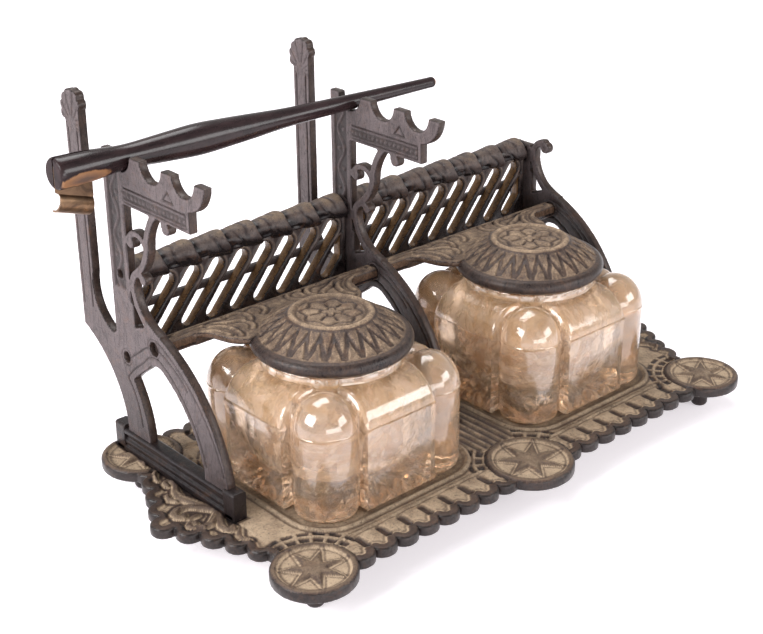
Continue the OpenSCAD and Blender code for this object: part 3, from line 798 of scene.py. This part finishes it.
def tall_field(u, v):
    column = rect(u, v, PIL_MID, (50 + RACK_Z) / 2, PIL_HALF, (RACK_Z - 50) / 2)
    beam = rect(u, v, (6.5 + PIL_MID) / 2, (97.8 + RACK_Z) / 2, (PIL_MID - 6.5) / 2, (RACK_Z - 97.8) / 2, 0.3)
    prong = poly(u, v, arc3((-2.6, RACK_Z), (-0.6, 109.5), (6.9, 105.2), 10) + [(9.0, 105.2), (9.0, RACK_Z)])
    rack = minimum(minimum(beam, prong), column)
    for y in NOTCH_Y:
        rack = maximum(rack, -disc(u, v, y, RACK_Z, 6.0))
    f = join(base_frame(u, v), rack, poly(u, v, REAR))
    for y, z, r in CROWN:
        f = minimum(f, disc(u, v, y, z, r))
    straps = join(*(poly(u, v, strap(path, w)) for path, w in ((RISING, 2.9), (HIGH_SCROLL, 2.5), (LOW_SCROLL, 2.2))),
                  disc(u, v, 42.6, 84.9, 2.2), disc(u, v, 36.4, 72.8, 1.9), k=0.8)
    pendant = join(disc(u, v, 20.6, 95.7, 2.2), rect(u, v, 21.4, 97.4, 1.7, 1.5), k=0.5)
    return holes(u, v, join(f, straps, pendant, k=0.9))


def short_field(u, v):
    column = rect(u, v, PIL_MID, 61.75, PIL_HALF, 11.75, 0.8)
    curl = join(poly(u, v, strap(CURLED, 2.9)), disc(u, v, 37.2, 73.9, 2.3), k=0.8)
    return holes(u, v, join(base_frame(u, v), column, curl, k=0.9))


# lines engraved along the arch, the pilaster's foot and the arm: (path, depth, half-width)
ENGRAVED = (
    (arc3((5.5, 14), (12.5, 29.5), (24.5, 42.2), 14) + arc3((26.5, 43.2), (32.4, 45.2), (39, 41.6), 8)
     + [(47, 35.4), (50.2, 32.0)] + arc3((50.2, 31), (46, 24), (43.6, 14), 8), 0.36, 0.5),
    (arc3((14, 39.5), (24.5, 46.8), (32, 49.2), 12) + [(37.6, 47.4), (46, 41.4), (52.5, 36.2)], 0.36, 0.5),
    ([(-4.3, 14)] + arc3((-4.3, 15), (7.2, 35.4), (31.2, 52.4), 14), 0.33, 0.45))
VINE_PITCH = 15.6


def face_relief(tall, deep):
    """The engraved face of a frame: its height and tone. deep is painted shade low on the frames further in."""

    def face(u, v, d):
        low, high = 66.0, 112.0 if tall else 70.5
        panel = step(-rect(u, v, PIL_MID, (low + high) / 2, 3.35, (high - low) / 2), -0.15, 0.25)
        vine_v = (v - low) / VINE_PITCH * 2 * PI
        vine = abs(u - PIL_MID - 1.75 * sin(vine_v)) / sqrt(1 + (0.7 * cos(vine_v)) ** 2)
        k = np.round(((v - low) / VINE_PITCH - 0.25) * 2)
        bud_u, bud_v = PIL_MID - 1.35 * where(k % 2 == 0, 1, -1), low + (k / 2 + 0.25) * VINE_PITCH
        raised = maximum(bump(vine, 0.85), bump(hypot(u - bud_u, v - bud_v), 1.15))
        cuts = [panel * (1 - raised) * 0.42]
        if tall:
            # rack: beaded band, borders and a small pediment under the middle prong
            beam = (u > 8.4) & (u < 44.2)
            band = step(-abs(v - 101.4), -1.75, -1.25) * beam
            bead = bump(hypot((u - 9.4 + 1.15) % 2.3 - 1.15, v - 101.4), 1.0)
            tri = poly(u, v, [(13.2, 104.9), (22.8, 104.9), (18.0, 110.6)])
            cuts += [band * (1 - bead) * 0.34, 0.38 * bump(u - 8.4, 0.45) * (abs(v - 101.5) < 2.6),
                     0.42 * bump(tri + 0.9, 0.5), 0.42 * bump(tri + 2.6, 0.35) * 0.6]
            cuts += [0.38 * bump(v - z, 0.45) * beam for z in (99.0, 104.0)]
            # post: two upright lines and a leafy head
            on_post = (u > POST[0] - 0.5) & (v > 52)
            below_head = on_post * step(-v, -(POST_Z - 13), -(POST_Z - 15))
            cuts += [0.5 * bump(u - y, 0.5) * below_head for y in (70.6, 76.1)]
            up, out = v - (POST_Z - 12.5), u - 73.4
            fan, rho = np.degrees(np.arctan2(up, out)), hypot(up, out)
            leaf = bump(((fan + 9) % 24 - 12) / 12 * rho * 0.21, 0.55) * step(rho, 2.6, 3.6) * (v > POST_Z - 14)
            cuts.append(0.26 * leaf * on_post)
        cuts += [depth * bump(line(u, v, path), w) for path, depth, w in ENGRAVED]
        # bosses round the pivot and the pins
        cuts += [0.28 * bump(hypot(u - y, v - z) - r, 0.4) for y, z, r in ((*PIVOT, 3.6), (PANEL_Y, LOW_PIN_Z, 3.1))]
        cut = np.maximum.reduce(cuts)
        h = FRAME_T / 2 - rounded(d, 0.55) - 0.05 + 0.05 * waves(u, v, 1.0) - 1.25 * cut * step(d, 0.3, 0.9)
        # painted shade darkens the engraved cuts
        tone = 0.74 + 0.06 * waves(u, v, 2.0) - 1.35 * cut - 0.22 * (1 - step(d, 0.1, 0.7)) + 0.2 * bump(d - 0.75, 0.45)
        # darker low down; deep adds painted shade over the lower parts of the frames that stand further in
        tone = tone - 0.36 * step(-v, -46, -9) - deep * step(-v, -72, -36)
        return h, clip(tone, 0, 1)

    return face


def build_frame(node, x, tall, deep):
    p = Parts()
    right = face_relief(tall, deep)

    def left(u, v, d):
        h, tone = right(u, v, d)
        return -h, tone

    def place(u, v, w):
        return w + x, u + MID_Y, v + TRAY_TOP

    span = (-7.5, 82, BAR_H - 3, POST_Z + 1) if tall else (-7.5, 80, BAR_H - 3, 79)

    def field(u, v):
        f = tall_field(u, v) if tall else short_field(u, v)
        return maximum(f, BAR_H - 2.0 - v)

    plate(p, field, span, 0.42, right, left, place)
    # foot bar: a moulded section with a hollow each side, and blocks at its ends
    w = 2.7
    hollow = [(w, 0.05), (w, 2.0), (w - 0.7, 2.5), (w - 0.7, 3.0), (w - 0.3, 3.4), (w - 0.3, 4.5), (w - 1.0, 5.0),
              (w - 1.0, BAR_H - 2.5), (w - 0.1, BAR_H - 1.9), (w - 0.1, BAR_H - 0.5), (w - 0.7, BAR_H)]
    section = hollow + [(-a, b) for a, b in reversed(hollow)]

    def run(u, s, h):
        return u + x, s + MID_Y, h + TRAY_TOP

    bar(p, section, -9.8, 60.4, run, tone=0.06, soft=0.22, n=30)
    top = BAR_H + 1.5
    for lo, hi in ((-10.5, -4.6), (55.2, 61.0)):
        bar(p, [(w, 0.03), (w, top - 0.6), (w - 0.6, top), (-w + 0.6, top), (-w, top - 0.6), (-w, 0.03)], lo, hi, run,
            tone=0.1, soft=0.7, n=4)
    finish_piece(p.object(node + "_casting"), FRAME_IRON, "stand", "frame_iron", node)


def build_screws():
    mat = steel()
    under = TRAY_TOP - TRAY_T
    turned = [(under - 1.8, 0), (under - 1.8, 0.9), (under - 1.6, 2.3), (under - 1.0, 3.0), (under, 2.9), (under, 1.42),
              (under + 8.0, 1.42), (under + 8.6, 1.1), (under + 8.6, 0)]
    for end, x in (("left", -BAY), ("middle", 0), ("right", BAY)):
        for row, y in (("front", MID_Y - 2.0), ("back", MID_Y + 31.0)):
            p = Parts()
            lathe(p, turned, 0.25, (x, y, 0), sides=48, tone=0.5)
            obj = p.object(f"{end}_screw_{row}_turned")
            carve(obj, (-4, 4), (-0.4, 0.4), (under - 2.4, under - 1.0), lambda box: box + array([x, y, 0]))
            finish_piece(obj, mat, "stand", "screw_steel", f"{end}_screw_{row}")


# ---------------------------------------------------------------- back panels
RAIL_TOP, PANEL_LOW = 42.5, 36.5
LEAN = math.radians(34)
SLAT_PITCH, SLAT_W = 10.75, 3.3
ROLL_WRAPS = 7


def end_pins(p, x0, y, z, r, inset, soft, sides, tone):
    """Round pins at both ends of a part, out into the frames."""
    for side in (-1, 1):
        lo, hi = sorted((side * (BAY_HALF - inset), side * (BAY_HALF + 1.6)))
        lathe(p, [(lo, 0), (lo, r), (hi, r), (hi, 0)], soft, (x0, MID_Y + y, TRAY_TOP + z), "x", sides, tone)


def roll(p, x0, half):
    """The top rail: overlapping wraps of cloth wound on the slant, puckered low on the front."""
    gx, ga = np.meshgrid(linspace(-half, half, 460), turns(96), indexing="ij")
    s = gx * ROLL_WRAPS / (2 * half) - ga / (2 * PI) + 0.1 * sin(ga - 2.0) + 0.03 * sin(3 * ga)
    k = np.floor(s)
    s = s - k
    front_low = exp(-(((ga - 1.22 * PI) / 0.55) ** 2))
    r = 3.75 + 1.55 * s ** 0.7 - 0.35 * exp(-((1 - s) / 0.035) ** 2)
    folds = sum(exp(-((s - c - 0.07 * sin(2 * ga + 1.7 * k + 9 * c)) / 0.05) ** 2)
                * (0.55 + 0.45 * sin(ga * m + 2.1 * k)) for c, m in ((0.36, 1), (0.62, 2)))
    r = r - 0.34 * folds + 0.12 * sin(3 * ga + 1.9 * k) * sin(PI * s) + 0.07 * sin(6 * ga - 5 * s + 2 * k)
    pucker = front_low * exp(-((s - 0.2) / 0.19) ** 2) * (0.5 + 0.5 * sin(8 * ga + 3 * k + 6 * s))
    r = r - 1.5 * pucker
    r = minimum(r * (0.93 + 0.07 * step(half - abs(gx), 0, 1.4)), 5.35)
    crease = exp(-(s / 0.13) ** 2) + 0.5 * exp(-((1 - s) / 0.02) ** 2)
    # the left roll is worn, dusty and with a painted highlight along its top; the right one is dustier all round.
    # The top term also darkens the underside with painted shade; the creases, folds, puckers and low front
    # carry painted shade.
    dusty, top_dust_and_light = (0.14, 0.46) if x0 < 0 else (0.3, 0.2)
    tone = dusty + 0.12 * s + top_dust_and_light * sin(ga) - 0.75 * crease - 1.2 * pucker - 0.34 * folds - 0.08 * front_low
    pts = stack([gx + x0, MID_Y + PANEL_Y + r * cos(ga), TRAY_TOP + ROLL_Z + r * sin(ga)], 2)
    grid(p, pts, clip(tone, 0, 1))


def build_panel(node, x0):
    p = Parts()
    half = BAY_HALF - 0.1

    def field(u, v):
        body = rect(u, v, 0, (PANEL_LOW + ROLL_Z) / 2, half, (ROLL_Z - PANEL_LOW) / 2, 0.3)
        gaps = full(u.shape, 1e9)
        gap_half = (SLAT_PITCH * math.cos(LEAN) - SLAT_W) / 2
        low, high = 44.0, ROLL_Z - 6.0
        for i in range(-6, 10):
            c = -43 + SLAT_PITCH * (i + 0.5)
            a = (c + (low - 43.5) * math.tan(LEAN), low + 2.6)
            b = (c + (high - 43.5) * math.tan(LEAN), high - 1.2)
            gaps = minimum(gaps, seg(u, v, a, b) - gap_half + 0.02 * (b[1] - v))
        gaps = maximum(gaps, abs(u) - half + 3.0)
        return maximum(body, -maximum(gaps, RAIL_TOP - v))

    def front(u, v, d):
        slot = step(v, RAIL_TOP - 0.5, RAIL_TOP + 1.5)
        rim = bump(d - 1.0, 0.75) * step(v, 56, 60)
        h = 2.45 - rounded(d, 1.2) + 0.08 * waves(u + x0, v, 3.0)
        h = h - 0.12 * (1 - slot) + 0.45 * bump(v - 39.5, 1.5) * (1 - slot) - 0.25 * bump(v - 41.7, 0.6) * (1 - slot)
        h = h + 0.22 * rim - 0.3 * bump(d - 2.3, 0.8) * step(v, 58, 61)
        tone = 0.1 + 0.36 * (1 - slot) + 0.05 * waves(u, v, 6.0) + 0.42 * rim + 0.14 * step(v, 62, 66)
        return h, clip(tone, 0, 1)

    def back(u, v, d):
        return -2.3 + rounded(d, 1.1) - 0.06 * waves(u, v + x0, 5.0), full(u.shape, 0.4)

    def place(u, v, w):
        return u + x0, MID_Y + PANEL_Y - w, v + TRAY_TOP

    def rail(u, s, h):
        return s + x0, MID_Y + PANEL_Y + u, h + TRAY_TOP

    plate(p, field, (-half - 0.5, half + 0.5, 36, ROLL_Z + 0.5), 0.42, front, back, place)
    bar(p, [(1.2, 57.5), (3.2, 57.5), (3.8, 56.9), (3.8, 55.4), (3.2, 54.8), (1.2, 54.8)], 1.0 - half, half - 1.0, rail,
        tone=0.2, soft=0.4, n=20)
    roll(p, x0, half)
    for z, r in ((ROLL_Z, 1.5), (LOW_PIN_Z, 1.9)):
        end_pins(p, x0, PANEL_Y, z, r, 1.4, 0.3, 32, 0.1)
    finish_piece(p.object(node + "_casting", 50), PANEL_IRON, "stand", "panel_iron", node)


# ---------------------------------------------------------------- lids
class Turned:
    """Rings of points round a vertical axis, each with a radius, a height and a tone at every angle."""

    def __init__(self, sides):
        self.a, self.rows, self.tones = turns(sides), [], []

    def ring(self, r, z, tone=0.0):
        n = len(self.a)
        self.rows.append(stack([r * cos(self.a), r * sin(self.a), np.broadcast_to(z, n)], 1))
        self.tones.append(np.broadcast_to(tone, n))

    def add_to(self, p, origin, flip=False):
        order = slice(None, None, -1 if flip else 1)
        rows = array(self.rows) + array(origin)
        grid(p, rows[:, order], array(self.tones)[:, order])


ROSETTE_ROWS, CONE_ROWS, TEETH = 46, 92, 24
CONE_IN, CONE_OUT = 15.9, 25.3


def dome_profile():
    """Outer radius and height above the lid's lower edge, from the middle out and round the rim."""
    slope = arc3((15.2, LID_H - 0.9), (21.6, 8.2), (25.4, 5.4), CONE_ROWS - ROSETTE_ROWS - 10)
    rim = arc3((26.0, 5.25), (LID_R, 2.6), (26.0, 0.0), 16)
    flat = [(r, LID_H - 0.55) for r in linspace(0.3, 12.4, ROSETTE_ROWS)]
    ring = [(r, LID_H - 0.55 + 0.55 * bump(r - 13.9, 1.35)) for r in linspace(12.8, 15.0, 9)]
    return flat + ring + slope + rim


def lid_dome(p, x0):
    t = Turned(408)
    a = t.a
    for i, (r, z) in enumerate(dome_profile()):
        z, tone = z + 0 * a, 0.6 + 0 * a
        if i < ROSETTE_ROWS:
            # rosette: eight lobes inside a scalloped groove, parted by bars about a small cross;
            # its sunk parts and the groove round its edge carry painted shade
            groove = bump(r - 9.9 - 0.95 * cos(8 * a), 1.15)
            bars = bump(r * abs(sin(4 * (a + PI / 8))) / 4, 0.85) * within(r, 3.6, 4.2, 7.2, 8.0)
            cross = bump(r - 3.0 + 0.9 * cos(4 * a), 0.95)
            sunk = clip(groove + bars + cross, 0, 1)
            rim = bump(r - 12.2, 0.8)
            z = z - 0.55 * sunk + 0.25 * cos(8 * a) * within(r, 4.5, 7.0, 8.6, 9.6) + 0.2 * (r < 2.4) - 0.35 * rim
            tone = tone - 0.32 * sunk - 0.14 * rim
        elif i < ROSETTE_ROWS + 9:
            tone += 0.16 * bump(r - 13.9, 1.2)
        elif i < CONE_ROWS:
            # two rows of raised wedges about a dark zigzag, drawn a little unevenly,
            # with a light line of painted highlight along the wedges' outlines
            x, y = r * cos(a), r * sin(a)
            rough = waves(4 * x, 4 * y, x0 + 5)
            phase = abs((a * TEETH / PI + 1 + 0.1 * rough) % 2 - 1)
            q = (r - CONE_IN) / (CONE_OUT - CONE_IN) + 0.035 * waves(3 * x, 3 * y, x0)
            wedge = maximum(0.86 - 1.16 * q - phase, phase + 1.05 * q - 1.3) * PI * r / TEETH
            facet = step(wedge, -0.1, 0.5)
            z = z - 0.75 * (1 - facet) * within(q, 0.0, 0.08, 0.94, 1.0)
            tone = 0.16 + 0.1 * step(q, 0.1, 0.5) + 0.24 * facet + 0.16 * bump(wedge - 0.3, 0.5) + 0.08 * rough
            tone = where(q > 0.96, 0.5, where(q < 0.0, 0.26, tone))
        else:
            tone = 0.12 + 0.12 * (z > 4.9)
        if r < 26:
            z = z + 0.07 * waves(r * cos(a), r * sin(a), x0)
        t.ring(r, z, clip(tone, 0, 1))
    inner = [(24.6, 0.05), (24.0, 0.3), (24.0, 2.0)] + arc3((23.6, 3), (19, 6), (11, 8.5), 10) + [(6, 8.5), (1, 8.5)]
    for r, z in inner:
        t.ring(r, z, 0.12)
    t.add_to(p, (x0, MID_Y, TRAY_TOP + LID_BOTTOM), flip=True)


BAR_BACK, BAR_FRONT = PIVOT[0] + 2.8, PIVOT[0] - 2.8
LEAF = [arc3((46, 31.5), (36, 33.6), (24, 29.6), 10) + arc3((22, 28.6), (17, 24), (19, 19.5), 8),
        arc3((44, 33.6), (34, 35), (22, 33.2), 10), arc3((36, 29.6), (31, 27), (28.4, 20.4), 8),
        arc3((30, 31.2), (25.6, 26.6), (25.4, 17.8), 8), arc3((21, 33.4), (14, 30.4), (15.6, 25.4), 8),
        arc3((13, 33.8), (6, 31.6), (8.5, 27), 8)]


def hinge_bar(p, x0):
    """The bar behind a lid, with S-curved necks out to the dome and leaves on its top."""
    half = BAY_HALF - 0.3
    edge = (arc3((37.5, BAR_FRONT), (34, BAR_FRONT - 1.6), (31.6, BAR_FRONT - 6), 8)
            + arc3((31, BAR_FRONT - 8), (28.8, 17), (24.6, 13.4), 8))
    side = [(half, BAR_BACK), (half, BAR_FRONT)] + edge
    plan = side + [(-x, y) for x, y in reversed(side)]

    def field(u, v):
        return maximum(poly(u, v, plan), 24.0 - hypot(u, v))

    def over(u, v, d):
        h = 2.5 - rounded(minimum(d, 3), 1.0) + 0.06 * waves(u + x0, v)
        tone = 0.56 + 0.08 * waves(u + x0, v, 2.0)
        inside = step(d, 0.8, 1.6)
        # the leaves' ridges are painted lighter and their troughs carry painted shade
        for path in LEAF:
            g = line(abs(u), v, path)
            trough = bump(g - 1.35, 0.8) * inside
            h = h + 0.3 * bump(g, 1.1) * inside - 0.48 * trough
            tone = tone + 0.12 * bump(g, 0.8) - 0.24 * trough
        # a groove along the back carries painted shade; the outline is worn dark
        groove = bump(BAR_BACK - v - 1.5, 0.5)
        h -= 0.25 * groove * step(d, 0.6, 1.2)
        tone = tone - 0.2 * groove - 0.25 * (1 - step(d, 0.1, 0.8))
        return h, clip(tone, 0, 1)

    def below(u, v, d):
        return where(v > BAR_FRONT, -2.5, -0.1) + rounded(d, 0.8), full(u.shape, 0.3)

    def place(u, v, w):
        return u + x0, v + MID_Y, w + TRAY_TOP + PIVOT[1]

    plate(p, field, (-half - 0.4, half + 0.4, 12, PIVOT[0] + 3.2), 0.4, over, below, place)
    end_pins(p, x0, *PIVOT, 2.45, 1.3, 0.35, 48, 0.12)


def build_lid(node, x0):
    p = Parts()
    lid_dome(p, x0)
    hinge_bar(p, x0)
    finish_piece(p.object(node + "_casting", 50), LID_IRON, node, "lid_iron", node)


# ---------------------------------------------------------------- glass wells
WALL, DOME_H, NECK_R = 31.0, 12.0, 26.0
COL, COL_R, PANEL_HALF, HALF = 23.7, 11.1, 15.5, 36.0


def well_plan(a):
    """Outer radius of the well in direction a: flat panels between round corner columns."""
    c, s = abs(cos(a)), abs(sin(a))
    big, small = maximum(c, s), minimum(c, s)
    panel = minimum(HALF / big, PANEL_HALF / maximum(small, 1e-9))
    core = 28.0 / big
    b = COL * (c + s)
    gap = b * b - 2 * COL * COL + COL_R * COL_R
    column = where(gap > 0, b + sqrt(maximum(gap, 0)), 0)
    return panel, core, column


def soft_max(fields, k):
    return -join(*(-f for f in fields), k=k)


def shoulder(x, y):
    """Height of the well's shoulder above the walls' top."""
    ax, ay = abs(x), abs(y)
    big, small = maximum(ax, ay), minimum(ax, ay)
    # panels roll over towards the neck
    cx, cy, r = circle((36.0, 0.0), (33.0, 6.6), (25.0, 11.0))
    arc = where(big < cx, r + cy, cy + sqrt(maximum(r * r - (big - cx) ** 2, 0)))
    panel = minimum(arc, 11.3) - 0.6 * maximum(small - PANEL_HALF + 1.5, 0) ** 2
    rho = hypot(ax - COL, ay - COL) / COL_R
    column = DOME_H * sqrt(clip(1 - rho * rho, 0, 1)) - 25 * maximum(rho - 1, 0)
    core = 9.4 - 1.7 * maximum(hypot(x, y) - 26.6, 0) ** 1.3
    return panel, column, core


def build_well(node, x0):
    t = Turned(512)
    ring, a = t.ring, t.a
    panel, core, column = well_plan(a)
    plan = soft_max([panel, core, column], 1.1)
    crease = exp(-((abs(panel - column)) / 1.6) ** 2)
    # underside: a shallow hollow with star-cut rays, then the foot and the walls
    rays = abs(sin(12 * a))
    for k, z, cut in ((0.02, 1.5, 0), (0.2, 1.4, 0.3), (0.4, 1.1, 1.2), (0.6, 0.7, 1.9), (0.78, 0.3, 1.9),
                      (0.88, 0.04, 0.5), (0.95, 0.0, 0)):
        ring(plan * k, z + 0.02 + cut * rays, 1.0 if k < 0.92 else 0.5)
    for q in linspace(0, PI / 2, 6):
        ring(plan - 1.6 * (1 - math.sin(q)), 0.02 + 1.6 * (1 - math.cos(q)), 0.24)
    for z in linspace(2.6, WALL - 0.8, 14):
        wall = plan - (0.22 + 0.1 * sin(5 * a + z / 4)) * sin(PI * (z - 2) / 29) * (panel > column)
        ring(wall, z, 0.12 + 0.06 * step(z, 8, 28) + 0.12 * crease)
    # a fine step where the domed tops meet the walls, then the shoulder
    ring(plan, WALL - 0.2, 0.2)
    ring(plan + 0.25, WALL + 0.25, 0.3)
    clearer = (0.13 if x0 < 0 else 0.02) * (column > panel)
    for q in linspace(0.03, 1, 60):
        r = NECK_R + (plan - NECK_R) * cos(q * PI / 2) ** 0.85
        h = WALL + maximum(soft_max(shoulder(r * cos(a), r * sin(a)), 0.9), 0.25)
        ring(r, h, 0.36 - clearer + 0.1 * crease * (q < 0.9))
    # neck, lip and mouth
    for q in linspace(0.15, 1, 6):
        ring(NECK_R - 0.35 * math.sin(q * PI / 2), h * (1 - q) + (MOUTH - 1.1) * q, 0.34 + 0.26 * q)
    for q in linspace(0.2, 1, 5):
        ring(NECK_R - 0.35 - 1.1 * (1 - math.cos(q * PI / 2)), MOUTH - 1.1 + 1.1 * math.sin(q * PI / 2) - 0.02)
    ring(22.4, MOUTH - 0.02)
    for q in linspace(0.25, 1, 4):
        ring(21.5 + 0.9 * math.cos(q * PI / 2) - 0.1, MOUTH - 1.0 * math.sin(q * PI / 2))
    # the bowl, with the lathe-like ripples of its plunger
    bowl = ([(21.0, 43.4), (20.7, 41.7)] + arc3((21.5, 40.6), (25.4, 36.6), (27, 30), 14) + [(27, 27), (27, 23)]
            + arc3((27, 19), (24.6, 10.4), (16, 6), 36) + [(12, 5.9), (8, 5.8), (4, 5.75), (0.6, 5.7)])
    for k, (r, z) in enumerate(bowl):
        ripple = -0.1 * (k % 2) * (6.2 < z < 19)
        ring(r * (1 + 0.004 * sin(3 * a + z)) + ripple, z, 0.5 + 0.06 * (z > 20) + 0.16 * (k % 2) * (z < 19))
    p = Parts()
    t.add_to(p, (x0, MID_Y, TRAY_TOP))
    finish_piece(p.object(node + "_glass", 38), WELL_GLASS, "stand", "well_glass", node)


# ---------------------------------------------------------------- penholder
PEN_LEN, PEN_TIP, WAIST = 168.0, 2.1, 26
STATIONS = [(0, 5.1), (1, 5.5), (12, 5.4), (26, 4.0), (40, 4.8), (56, 5.7), (74, 4.75), (95, 3.4), (126, 2.8),
            (150, 2.3), (164, 2.1)]


def pen_radius(s):
    def straight(q):
        return float(np.interp(q, *zip(*STATIONS)))

    if s < 6:
        return straight(s)
    spread = min(8.0, s - 1.0, PEN_LEN - PEN_TIP - s + 1.0)
    steps = linspace(-1, 1, 21)
    weights = 1 - steps * steps
    return float(sum(straight(s + spread * q) * w for q, w in zip(steps, weights)) / weights.sum())


def pen_axis():
    """Where the penholder lies: it rests in two notches, so its axis slopes with its taper."""
    z_left = RACK_Z - 6.0 + 4.0 + 0.3
    z_mid = RACK_Z - 6.0 + pen_radius(WAIST + BAY) + 0.3
    tilt = math.atan((z_left - z_mid) / BAY)
    at = Matrix.Translation((-BAY, MID_Y + NOTCH_Y[0], TRAY_TOP + z_left))
    return at @ Matrix.Rotation(tilt, 4, "Y") @ Matrix.Translation((-WAIST, 0, 0))


def onto_pen(points):
    """Points along the holder, from its thick end, to where it lies."""
    m = array(pen_axis())
    return np.asarray(points) @ m[:3, :3].T + m[:3, 3]


def build_holder():
    a = turns(96)
    body_end = PEN_LEN - PEN_TIP
    prof = [(0.0, 1.5), (0.0, 3.2), (0.0, 4.5)]
    prof += [(s, pen_radius(s) - (0.42 * (1 - min(s / 0.7, 1)) ** 2))
             for s in [0.02, 0.12, 0.35, 0.7, 1.1] + list(arange(2, body_end, 1.0))]
    prof += [(body_end + PEN_TIP * math.sin(t), PEN_TIP * math.cos(t)) for t in linspace(0, PI / 2 * 0.97, 9)]
    rows, tones = [], []
    for s, r in prof:
        rows.append(stack([s + 0 * a, r * cos(a), r * sin(a)], 1))
        # worn bare by the fingers on the front; the end is rough wood
        patch = hypot((s - 9.0) / 9.5, (np.degrees(a) - 210) / 30)
        worn = where(patch < 1.25, clip(1.02 - 0.52 * patch, 0, 1), 0) if s >= 0.3 else 0.3
        tip = 0.62 * step(s, PEN_LEN - 2.6, PEN_LEN - 1.0)
        under = 0.42 * step(cos(a - math.radians(250)), 0.75, 1.0) * within(s, 30, 50, 70, 90)
        tones.append(maximum(maximum(worn, tip), under))
    p = Parts()
    grid(p, onto_pen(rows), array(tones))
    obj = p.object("penholder_turned", 40)
    carve(obj, (-2, 14), (-0.41, 0.41), (-8, 8), onto_pen)
    obj.data.set_sharp_from_angle(angle=math.radians(40))
    finish_piece(obj, lacquer(), "pen", "penholder_wood", "penholder")


def build_flange():
    """One folded strip of brass: a tongue in the holder's slot, curling into an open gutter that slopes away."""
    slope, half = math.radians(17), 0.33
    gutter = arc3((0, 0), (-1.7, -3), (1.8, -6), 14)
    rings = []
    for t in linspace(0, 1, 31):
        s, out = 13.6 * t, 12.2 * t / math.cos(slope)
        path = [(s + 0.2, 0.0, z) for z in (2.5, -1.0, -4.0, -6.4 - s * math.tan(slope) * 0.9)]
        path += [(1.4 + out * math.cos(slope) + z * math.sin(slope), y,
                  -7.1 - out * math.sin(slope) + z * math.cos(slope)) for y, z in gutter]
        path = array(path)
        along = np.gradient(path[:, 1:], axis=0)
        across = stack([0 * along[:, 0], -along[:, 1], along[:, 0]], 1)
        across *= half / np.linalg.norm(across, axis=1)[:, None]
        rings.append(vstack([path + across, (path - across)[::-1]]))
    p = Parts()
    grid(p, onto_pen(rings), 0.5)
    finish_piece(p.object("flange_folded", 35), brass(), "pen", "flange_brass", "pen_flange")


# ---------------------------------------------------------------- everything
build_tray()
build_frame("left_frame", -BAY, True, 0.0)
build_frame("middle_frame", 0.0, True, 0.42)
build_frame("right_frame", BAY, False, 0.62)
build_screws()
for build, part in ((build_panel, "back_panel"), (build_lid, "lid"), (build_well, "well")):
    build(f"left_{part}", -BAY / 2)
    build(f"right_{part}", BAY / 2)
build_holder()
build_flange()


# ---------------------------------------------------------------- floor, light and camera
def build_floor():
    mesh = bpy.data.meshes.new("floor")
    n, size = 24, 6.0  # cells a side, metres
    pts = [((i / n - 0.5) * size, (j / n - 0.5) * size, 0) for i in range(n + 1) for j in range(n + 1)]
    starts = [i * (n + 1) + j for i in range(n) for j in range(n)]
    mesh.from_pydata(pts, [], [(k, k + n + 1, k + n + 2, k + 1) for k in starts])
    s = Shader("floor_paper", Roughness=0.9, Specular_IOR_Level=0.2, Emission_Strength=0.5,
               Emission_Color=(1.0, 0.955, 1.0, 1))
    s.set("Base Color", s.ramp(s.noise(6, 2), (0.3, (0.8, 0.775, 0.8)), (0.7, (0.84, 0.815, 0.84))))
    s.mat.cycles.emission_sampling = "NONE"
    mesh.materials.append(s.mat)
    obj = link("floor", mesh)


def soft_light(name, place, aim, size, power):
    data = bpy.data.lights.new(name, "AREA")
    data.shape, data.size, data.size_y = "RECTANGLE", *size
    data.energy = power
    obj = link(name, data)
    obj.location = place
    obj.rotation_mode = "QUATERNION"
    obj.rotation_quaternion = (Vector(aim) - Vector(place)).to_track_quat("-Z", "Y")


def build_camera():
    az, el, roll = (math.radians(x) for x in (-41.6428, 23.73, -0.52))
    place = Matrix.Translation((-0.34415, -0.36284, 0.26804 + TRAY_TOP / 1000))
    data = bpy.data.cameras.new("camera")
    data.sensor_width, data.lens = 36.0, 69.53
    data.shift_x, data.shift_y = 0.0039, -0.0348
    data.clip_start, data.clip_end = 0.01, 50
    obj = link("camera", data)
    obj.matrix_world = (place @ Matrix.Rotation(az, 4, "Z") @ Matrix.Rotation(PI / 2 - el, 4, "X")
                        @ Matrix.Rotation(roll, 4, "Z"))
    bpy.context.scene.camera = obj


def build_world():
    """White walls all round, dim overhead."""
    world = bpy.data.worlds.new("studio")
    world.use_nodes = True
    nodes, links = world.node_tree.nodes, world.node_tree.links
    coord, split, ramp = (nodes.new("ShaderNode" + kind) for kind in ("TexCoord", "SeparateXYZ", "ValToRGB"))
    links.new(coord.outputs["Generated"], split.inputs[0])
    links.new(split.outputs["Z"], ramp.inputs[0])
    links.new(ramp.outputs[0], nodes["Background"].inputs[0])
    low, high = ramp.color_ramp.elements
    low.position, low.color = 0.10, (0.84, 0.83, 0.82, 1)
    high.position, high.color = 0.80, (0.27, 0.265, 0.26, 1)
    bpy.context.scene.world = world
    bpy.context.scene.view_settings.view_transform = "Standard"


build_floor()
build_camera()
build_world()
soft_light("overhead", (0.05, 0.35, 0.95), (0, 0, 0.05), (0.8, 0.5), 7.0)
soft_light("left_box", (-0.95, 0.15, 0.55), (0, 0, 0.06), (0.7, 0.5), 13.0)
soft_light("low_front", (-0.2, -1.1, 0.16), (0, 0, 0.03), (1.0, 0.26), 4.0)
soft_light("right_box", (0.55, -0.98, 0.45), (0, 0, 0.06), (0.7, 0.45), 6.0)
